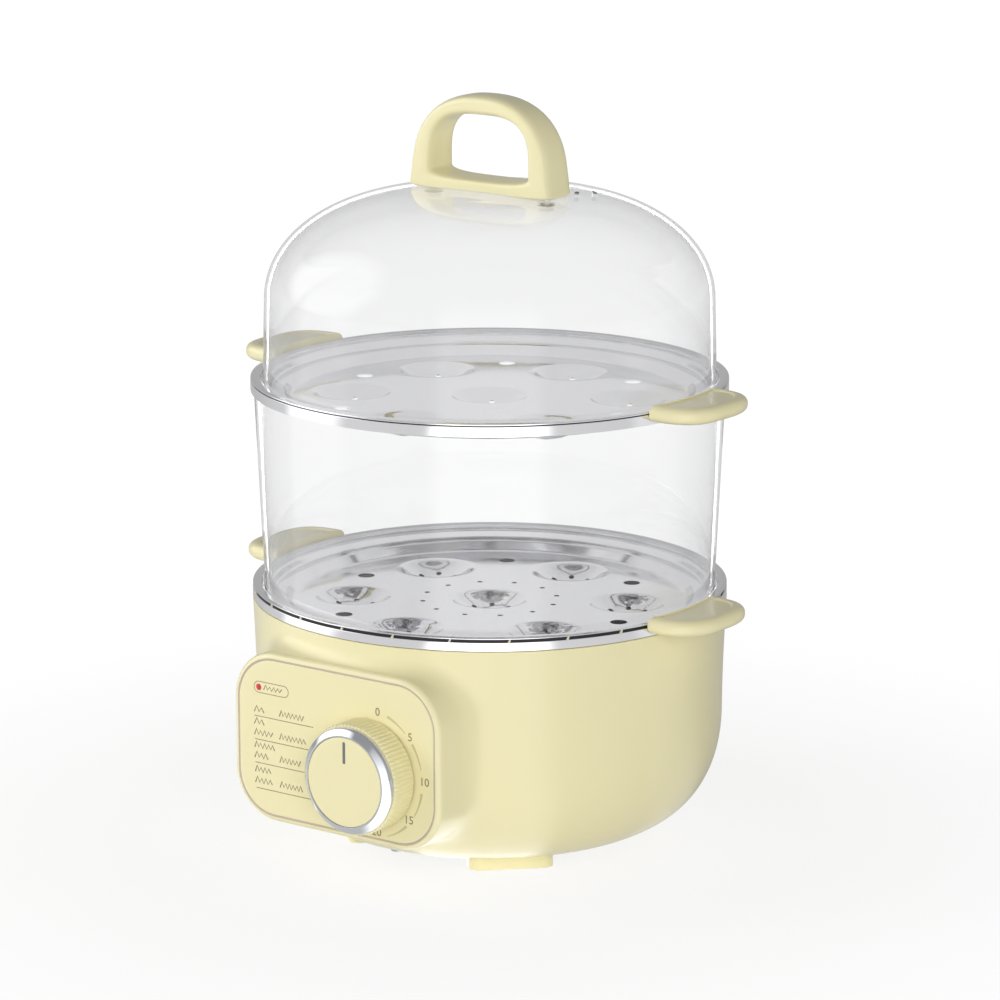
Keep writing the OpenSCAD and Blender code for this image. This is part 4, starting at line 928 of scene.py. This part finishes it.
def lidLine(inset, steps=60):
    # r = flat + (side - flat) cos(a)^(2/k), z = sideZ + rise sin(a)^(2/k), then the near-flat crown
    t = lidShape
    a = np.radians(np.linspace(0, 90, steps))
    reach = t["sideRadius"] - inset
    rise = t["topZ"] - t["crownRise"] - t["sideZ"] - inset
    dome = np.stack([t["flat"] + (reach - t["flat"]) * np.maximum(np.cos(a), 0) ** (2 / t["bend"]),
                     t["sideZ"] + rise * np.sin(a) ** (2 / t["bend"])], -1)
    u = np.linspace(1, 0, 12)[1:]
    crown = np.stack([t["flat"] * u, dome[-1, 1] + t["crownRise"] * (1 - u ** 2)], -1)
    side = np.stack([np.linspace(t["footRadius"] - inset, reach, 9)[:-1],
                     np.linspace(t["footZ"], t["sideZ"], 9)[:-1]], -1)
    return np.concatenate([side, dome, crown])


def ventLine(x, y, radius):
    # a slot along the circle round the axis: half circles (r cos a, r sin a) drawn apart
    a = turns(32)
    turn = math.atan2(y, x) + math.pi / 2
    apart = np.where(np.cos(a) > 0, lidShape["ventHalf"], -lidShape["ventHalf"])
    u, v = radius * np.cos(a) + apart, radius * np.sin(a)
    return np.stack([x + u * math.cos(turn) - v * math.sin(turn),
                     y + u * math.sin(turn) + v * math.cos(turn)], -1)


def addLid():
    # the turned dome with two vents cut through, and a thin grey band of painted shade on each
    # vent's wall
    t = lidShape
    outside, inside = lidLine(0), lidLine(t["wall"])
    foot = roundCorners([inside[1], (*inside[0], t["footRound"]), (*outside[0], t["footRound"]),
                         outside[1]], closed=False, steps=5)
    loop = np.concatenate([inside[::-1][:-2], foot, outside[2:]])
    slots = [ventLine(x, y, t["ventRadius"]) for x, y in t["vents"]]
    addPiece("clearLid", *turned(loop, t["segments"], closed=False), "lid", "clear_plastic",
             stands=["lid_dome"], sharp=60, cut=prisms("lidVents", slots, 290.0, 306.0))
    points, faces = [], []
    for x, y in t["vents"]:
        faces.append(gridFaces(4, 32, wrapRows=True, start=32 * len(points)))
        for r, depth in t["ventBand"]:
            line = ventLine(x, y, r)
            z = np.interp(np.hypot(*line.T), outside[::-1, 0], outside[::-1, 1]) - depth
            points.append(np.column_stack([line, z]))
    addPiece("ventEdges", np.concatenate(points), faces, "lid", "clear_plastic", sharp=50,
             material=ventShade)


addRing()
addLid()
print("ring and lid made")

# handle of the lid

gripShape = {"halfLength": 38.0, "sole": 301.9, "middle": 309.9, "top": 346.9, "innerHalf": 27.5,
             "width": 20.5, "bar": 9.5, "soleHeight": 6.5, "narrowing": 0.16, "innerRise": 2.5,
             "outerBend": (2.35, 12), "innerBend": (3.2, 3),     # above and below the middle
             "flare": 1.8, "flareTop": 7, "flareRun": 15, "seatGap": 0.15}


def archLine(a, half, level, top, sole, bend):
    # x = half cos(a)^(2/k), z = level + rise sin(a)^(2/k), with its own k and rise above and below
    high, up, down = np.sin(a) >= 0, np.maximum(np.sin(a), 0), np.maximum(-np.sin(a), 0)
    k, j = 2 / bend[0], 2 / bend[1]
    x = half * np.where(high, power(np.cos(a), k), power(np.cos(a), j))
    z = np.where(high, level + (top - level) * up ** k, level - (level - sole) * down ** j)
    return np.stack([x, z], -1)


def addGrip():
    # sections between an outer and an inner arch, each a superellipse of exponent 5 at the sole and
    # 3 on top, with the dome's outside cut away underneath
    t = gripShape
    a = turns(192)
    outer = archLine(a, t["halfLength"], t["middle"], t["top"], t["sole"], t["outerBend"])
    low = np.clip((t["middle"] + t["flareTop"] - outer[:, 1]) / t["flareRun"], 0, 1)
    outer[:, 0] += np.sign(outer[:, 0]) * t["flare"] * low ** 1.5
    inner = archLine(a, t["innerHalf"], t["middle"] + t["innerRise"], t["top"] - t["bar"],
                     t["sole"] + t["soleHeight"], t["innerBend"])
    centre, half = (outer + inner) / 2, (outer - inner) / 2
    up = np.maximum(np.sin(a), 0)
    wide = t["width"] / 2 * (1 - t["narrowing"] * up)
    e = 2 / (5 - 2 * up)
    b = 2 * math.pi * (np.arange(56) + 0.5) / 56
    u = power(np.cos(b)[None, :], e[:, None])
    v = power(np.sin(b)[None, :], e[:, None])
    points = np.stack([centre[:, :1] + half[:, :1] * u, wide[:, None] * v,
                       centre[:, 1:] + half[:, 1:] * u], -1)
    dome = lidLine(0)
    dome = dome[dome[:, 1] > 292.0] + [0, t["seatGap"]]
    below = np.concatenate([[[0, 290.0], [60.0, 290.0]], dome])
    seat = addPiece("gripSeat", *turned(below, 192, closed=False))
    addPiece("lidGrip", points, [gridFaces(192, 56, wrapRows=True)], "lid", "cream_plastic",
             stands=["lid_handle"], sharp=45, cut=seat)


addGrip()
print("grip made")

# timer knob, in (x, forward, z) about its axis

knobShape = {
    "centre": (19.6, 57.5), "panelY": -116.5, "radius": 25.4, "gap": 0.8, "front": 14.0,
    "skirtInside": 23.0, "roof": 12.2, "hub": 6.5, "bore": 3.05, "flutes": 78, "fluteDepth": 0.6,
    "fluteFrom": 24.4, "fluteFade": 0.7, "fluteLift": 1.0,
    "bezelRadius": 24.4, "bezelSide": 16.3, "bezelRound": 3.4, "bezelTop": (21.3, 18.6),
    "discRadius": 20.5, "discFront": 18.5,
    "pointerAt": 13.55, "pointerHalf": 4.3, "pointerWidth": 0.8,
    "pointerEdge": ((0, 18.3), (0, 18.49), (0.06, 18.55), (0.18, 18.585), (0.5, 18.59)),
}


def layKnob(name, points, faces, slot, stands, sharp=50):
    # lathe coordinates (x, y, height) laid down: height points out of the panel
    k = knobShape
    x, z = k["centre"]
    points = np.stack([x + points[:, 0], k["panelY"] - points[:, 2], z + points[:, 1]], -1)
    addPiece(name, points, faces, "knob", slot, stands=[stands], sharp=sharp)


def addKnob():
    # turned skirt, bezel and disc; the skirt's flutes draw r in by depth (0.5 - 0.5 cos(n a))^2.5
    k = knobShape
    roof, gapZ, disc, base = k["roof"], k["gap"], k["discRadius"], k["front"]
    loop = roundCorners([(0, base), (k["radius"], base, 0.9), (k["radius"], gapZ, 0.45),
                         (k["skirtInside"], gapZ, 0.3), (k["skirtInside"], roof), (k["hub"], roof),
                         (k["hub"], gapZ), (k["bore"], gapZ), (k["bore"], roof), (0, roof)],
                        closed=False, steps=8)
    points, faces = turned(finePath(loop, 2.5), k["flutes"] * 10, closed=False)
    r, a = np.hypot(points[:, 0], points[:, 1]), np.arctan2(points[:, 1], points[:, 0])
    wave = (0.5 - 0.5 * np.cos(k["flutes"] * a)) ** 2.5
    outside = np.clip((r - k["fluteFrom"]) / k["fluteFade"], 0, 1)
    outside *= np.clip((points[:, 2] - gapZ) / k["fluteLift"], 0, 1)
    points[:, :2] *= (1 - k["fluteDepth"] * wave * outside / np.maximum(r, 1))[:, None]
    layKnob("knobSkirt", points, faces, "cream_plastic", "knob_body")
    top = k["bezelTop"]
    loop = roundCorners([(disc + 0.1, base), (k["bezelRadius"], base, 0.15),
                         (k["bezelRadius"], k["bezelSide"], k["bezelRound"]), (*top, 0.5),
                         (disc + 0.1, top[1], 0.12)], steps=8)
    layKnob("knobBezel", *turned(loop, 240), "bright_chrome", "knob_ring")
    loop = roundCorners([(0, k["discFront"]), (disc - 0.05, k["discFront"], 0.35),
                         (disc - 0.05, base), (0, base)], closed=False, steps=6)
    layKnob("knobDisc", *turned(finePath(loop, 3.0), 160, closed=False), "cream_plastic",
            "knob_cap", sharp=45)


def addPointer():
    # a capsule outline drawn in by each first value of the edge at each second one, its height
    k = knobShape
    a = turns(48)
    middle = k["pointerAt"] + np.where(np.sin(a) > 0, 1, -1) * k["pointerHalf"]
    rings = []
    for inset, height in k["pointerEdge"]:
        w = k["pointerWidth"] - inset
        rings.append(np.stack([w * np.cos(a), middle + w * np.sin(a), np.full(48, height)], -1))
    layKnob("knobPointer", *loft(rings), "pointer_grey", "knob_pointer")


addKnob()
addPointer()
print("knob made")

# floor, backdrop, lamps and camera

studio = {
    "around": 0.70, "front": 1.65, "lobe": (-0.45, 0.86, 0.22), "lobePower": 2.5,     # soft light
    "skyFrom": 0.2, "skyRise": 1.9, "skyDim": 0.92, "skyMirror": 0.55,     # overhead
    "window": (-0.89, -0.16, 0.43), "windowFrom": 0.84, "windowRise": 12.0, "windowGlow": 1.8,
    "white": 1.0, "floorWhite": 1.04, "floorTone": 0.86, "floorGlow": 0.06, "floorSize": 30,
    "shadowFrom": 0.16, "shadowFade": 3.2, "shadowShare": 0.2,     # floor's shade near the object
    "mirrorTop": 2.0,     # brightest of the shades below
    "shades": ((-180, 0.56), (-150, 0.54), (-112, 0.70), (-104, 1.25), (-78, 1.25), (-68, 0.74),
               (-30, 0.72), (-20, 2.0), (20, 2.0), (32, 0.74), (66, 0.70), (74, 0.86), (92, 0.72),
               (108, 0.34), (150, 0.44), (180, 0.56)),     # (degrees from the camera, brightness)
    "lamps": {     # place, width and height, watts
        "leftSoftbox": ((-1.05, -0.84, 0.62), (0.55, 0.55), 5.8),
        "frontSoftbox": ((1.25, -1.25, 0.62), (0.6, 0.8), 6.5),
        "rightSoftbox": ((1.45, 0.45, 0.35), (0.4, 0.8), 2.8),
        "rearSoftbox": ((-0.4, 1.4, 0.9), (0.5, 0.9), 1.2),
    },
    "lampTarget": (0, 0.012, 0.17),
}
cameraSetup = {"lens": 161.2, "sensor": 36.0, "place": (1.2010, -1.6105, 0.6344), "tilt": 76.71,
               "turn": 36.5, "turnTrim": -0.0023, "clipEnd": 50.0}
towardsEye = np.array([0.59, -0.81, 0.0])     # level, from the object to the camera
rightwards = np.array([0.81, 0.59, 0.0])     # level, to the camera's right


def studioWay(right, near, up):
    # right, near and up as seen from the camera, in the frame's own axes
    return right * rightwards + near * towardsEye + np.array([0, 0, up])


def buildShade():
    # what shiny things mirror in a level direction: white in front, greys beside it, dim behind
    top = studio["mirrorTop"]
    group, gin, gout = newGroup("studioShade", [("Direction", "Vector", (0, 0, 0))],
                                [("Value", "Float")])
    near, right = [dot(group, gin.outputs[0], axis) for axis in (towardsEye, rightwards)]
    ramp = group.nodes.new("ShaderNodeValToRGB")
    ramp.color_ramp.interpolation = "EASE"
    while len(ramp.color_ramp.elements) < len(studio["shades"]):
        ramp.color_ramp.elements.new(0.5)
    for element, (angle, value) in zip(ramp.color_ramp.elements, studio["shades"]):
        element.position = (angle + 180) / 360
        element.color = (value / top, value / top, value / top, 1)
    place = maths(group, "MULTIPLY_ADD", maths(group, "ARCTAN2", right, near), 0.5 / math.pi, 0.5)
    group.links.new(place, ramp.inputs[0])
    group.links.new(maths(group, "MULTIPLY", ramp.outputs[0], top), gout.inputs[0])
    return group


studioShade = buildShade()


def addShade(tree, vector):
    # the studio's light that comes from the vector's direction
    node = tree.nodes.new("ShaderNodeGroup")
    node.node_tree = studioShade
    tree.links.new(vector, node.inputs[0])
    return node.outputs[0]


def emission(tree, strength, kind="ShaderNodeEmission"):
    # white light of the strength, in every direction
    return addNode(tree, kind, Strength=strength).outputs[0]


def mixShaders(tree, factor, a, b):
    # (1 - factor) a + factor b
    node = tree.nodes.new("ShaderNodeMixShader")
    for k, value in enumerate((factor, a, b)):
        tree.links.new(value, node.inputs[k])
    return node.outputs[0]


def seenDirectly(tree, light):
    # 1 where the camera looks, straight or through clear plastic
    return maths(tree, "ADD", light["Is Camera Ray"], light["Is Transmission Ray"], clamp=True)


def buildWorld():
    # diffuse light from round about and a broad lobe in front, greys for mirrors, white for the eye
    w = studio
    world = bpy.data.worlds.new("studio")
    bpy.context.scene.world = world
    tree = emptyTree(world)
    light = tree.nodes.new("ShaderNodeLightPath").outputs
    direction = tree.nodes.new("ShaderNodeTexCoord").outputs["Generated"]
    aim = studioWay(*w["lobe"])
    lobe = dot(tree, direction, aim / np.linalg.norm(aim))
    bright = maths(tree, "POWER", maths(tree, "MAXIMUM", lobe, 0.0), w["lobePower"])
    height = addNode(tree, "ShaderNodeSeparateXYZ", Vector=direction).outputs[2]
    up = climb(tree, height, w["skyFrom"], w["skyRise"])
    soft = maths(tree, "MULTIPLY", maths(tree, "MULTIPLY_ADD", bright, w["front"], w["around"]),
                 maths(tree, "MULTIPLY_ADD", up, -w["skyDim"], 1.0))
    level = maths(tree, "MULTIPLY", addShade(tree, direction), maths(tree, "SUBTRACT", 1.0, up))
    mirror = maths(tree, "ADD", level, maths(tree, "MULTIPLY", up, w["skyMirror"]))
    # soft window high behind on the left, which the lid mirrors
    window = dot(tree, direction, studioWay(*w["window"]))
    patch = climb(tree, window, w["windowFrom"], w["windowRise"])
    mirror = maths(tree, "MULTIPLY_ADD", patch, w["windowGlow"], mirror)
    back = "ShaderNodeBackground"
    lit = mixShaders(tree, light["Is Glossy Ray"], emission(tree, soft, back),
                     emission(tree, mirror, back))
    shown = mixShaders(tree, seenDirectly(tree, light), lit, emission(tree, w["white"], back))
    addNode(tree, "ShaderNodeOutputWorld", Surface=shown)


def addFloor():
    # white where the eye sees it, with the object's shadow near it; mirrors see the studio's greys
    w, d = studio, studio["floorSize"]
    mesh = bpy.data.meshes.new("floor")
    mesh.from_pydata([(-d, -d, 0), (d, -d, 0), (d, d, 0), (-d, d, 0)], [], [(0, 1, 2, 3)])
    floor = bpy.data.objects.new("floor", mesh)
    bpy.context.scene.collection.objects.link(floor)
    mat = bpy.data.materials.new("floorWhite")
    tree = emptyTree(mat)
    light = tree.nodes.new("ShaderNodeLightPath").outputs
    place = tree.nodes.new("ShaderNodeTexCoord").outputs["Object"]
    length = vectorMaths(tree, "LENGTH", {0: place}, "Value")
    far = climb(tree, length, w["shadowFrom"], w["shadowFade"])
    both = tree.nodes.new("ShaderNodeAddShader")
    tone = (w["floorTone"],) * 3 + (1,)
    tree.links.new(addNode(tree, "ShaderNodeBsdfDiffuse", Color=tone).outputs[0], both.inputs[0])
    tree.links.new(emission(tree, w["floorGlow"]), both.inputs[1])
    share = maths(tree, "MULTIPLY_ADD", far, w["shadowShare"], 1 - w["shadowShare"])
    lit = mixShaders(tree, light["Is Glossy Ray"], both.outputs[0],
                     emission(tree, addShade(tree, place)))
    shown = mixShaders(tree, maths(tree, "MULTIPLY", seenDirectly(tree, light), share), lit,
                       emission(tree, w["floorWhite"]))
    addNode(tree, "ShaderNodeOutputMaterial", Surface=shown)
    mesh.materials.append(mat)


def addLamp(name, place, size, watts):
    # a rectangle of light, its -z turned from its place to the lamps' target
    data = bpy.data.lights.new(name, "AREA")
    data.shape, data.size, data.size_y, data.energy = "RECTANGLE", size[0], size[1], watts
    lamp = bpy.data.objects.new(name, data)
    bpy.context.scene.collection.objects.link(lamp)
    lamp.location = place
    lamp.visible_glossy = lamp.visible_transmission = False     # mirrors see the soft shades
    way = Vector(studio["lampTarget"]) - Vector(place)
    lamp.rotation_euler = way.to_track_quat("-Z", "Y").to_euler()


def addCamera():
    # the fitted view: focal length, place, tilt from straight down and turn about z
    c = cameraSetup
    data = bpy.data.cameras.new("camera")
    data.lens, data.sensor_width, data.clip_end = c["lens"], c["sensor"], c["clipEnd"]
    camera = bpy.data.objects.new("camera", data)
    bpy.context.scene.collection.objects.link(camera)
    camera.location = c["place"]
    camera.rotation_euler = (math.radians(c["tilt"]), 0, math.radians(c["turn"]) + c["turnTrim"])
    bpy.context.scene.camera = camera


buildWorld()
addFloor()
for name, (place, size, watts) in studio["lamps"].items():
    addLamp(name, place, size, watts)
addCamera()
bpy.context.scene.view_settings.view_transform = "Standard"
print("stage ready")
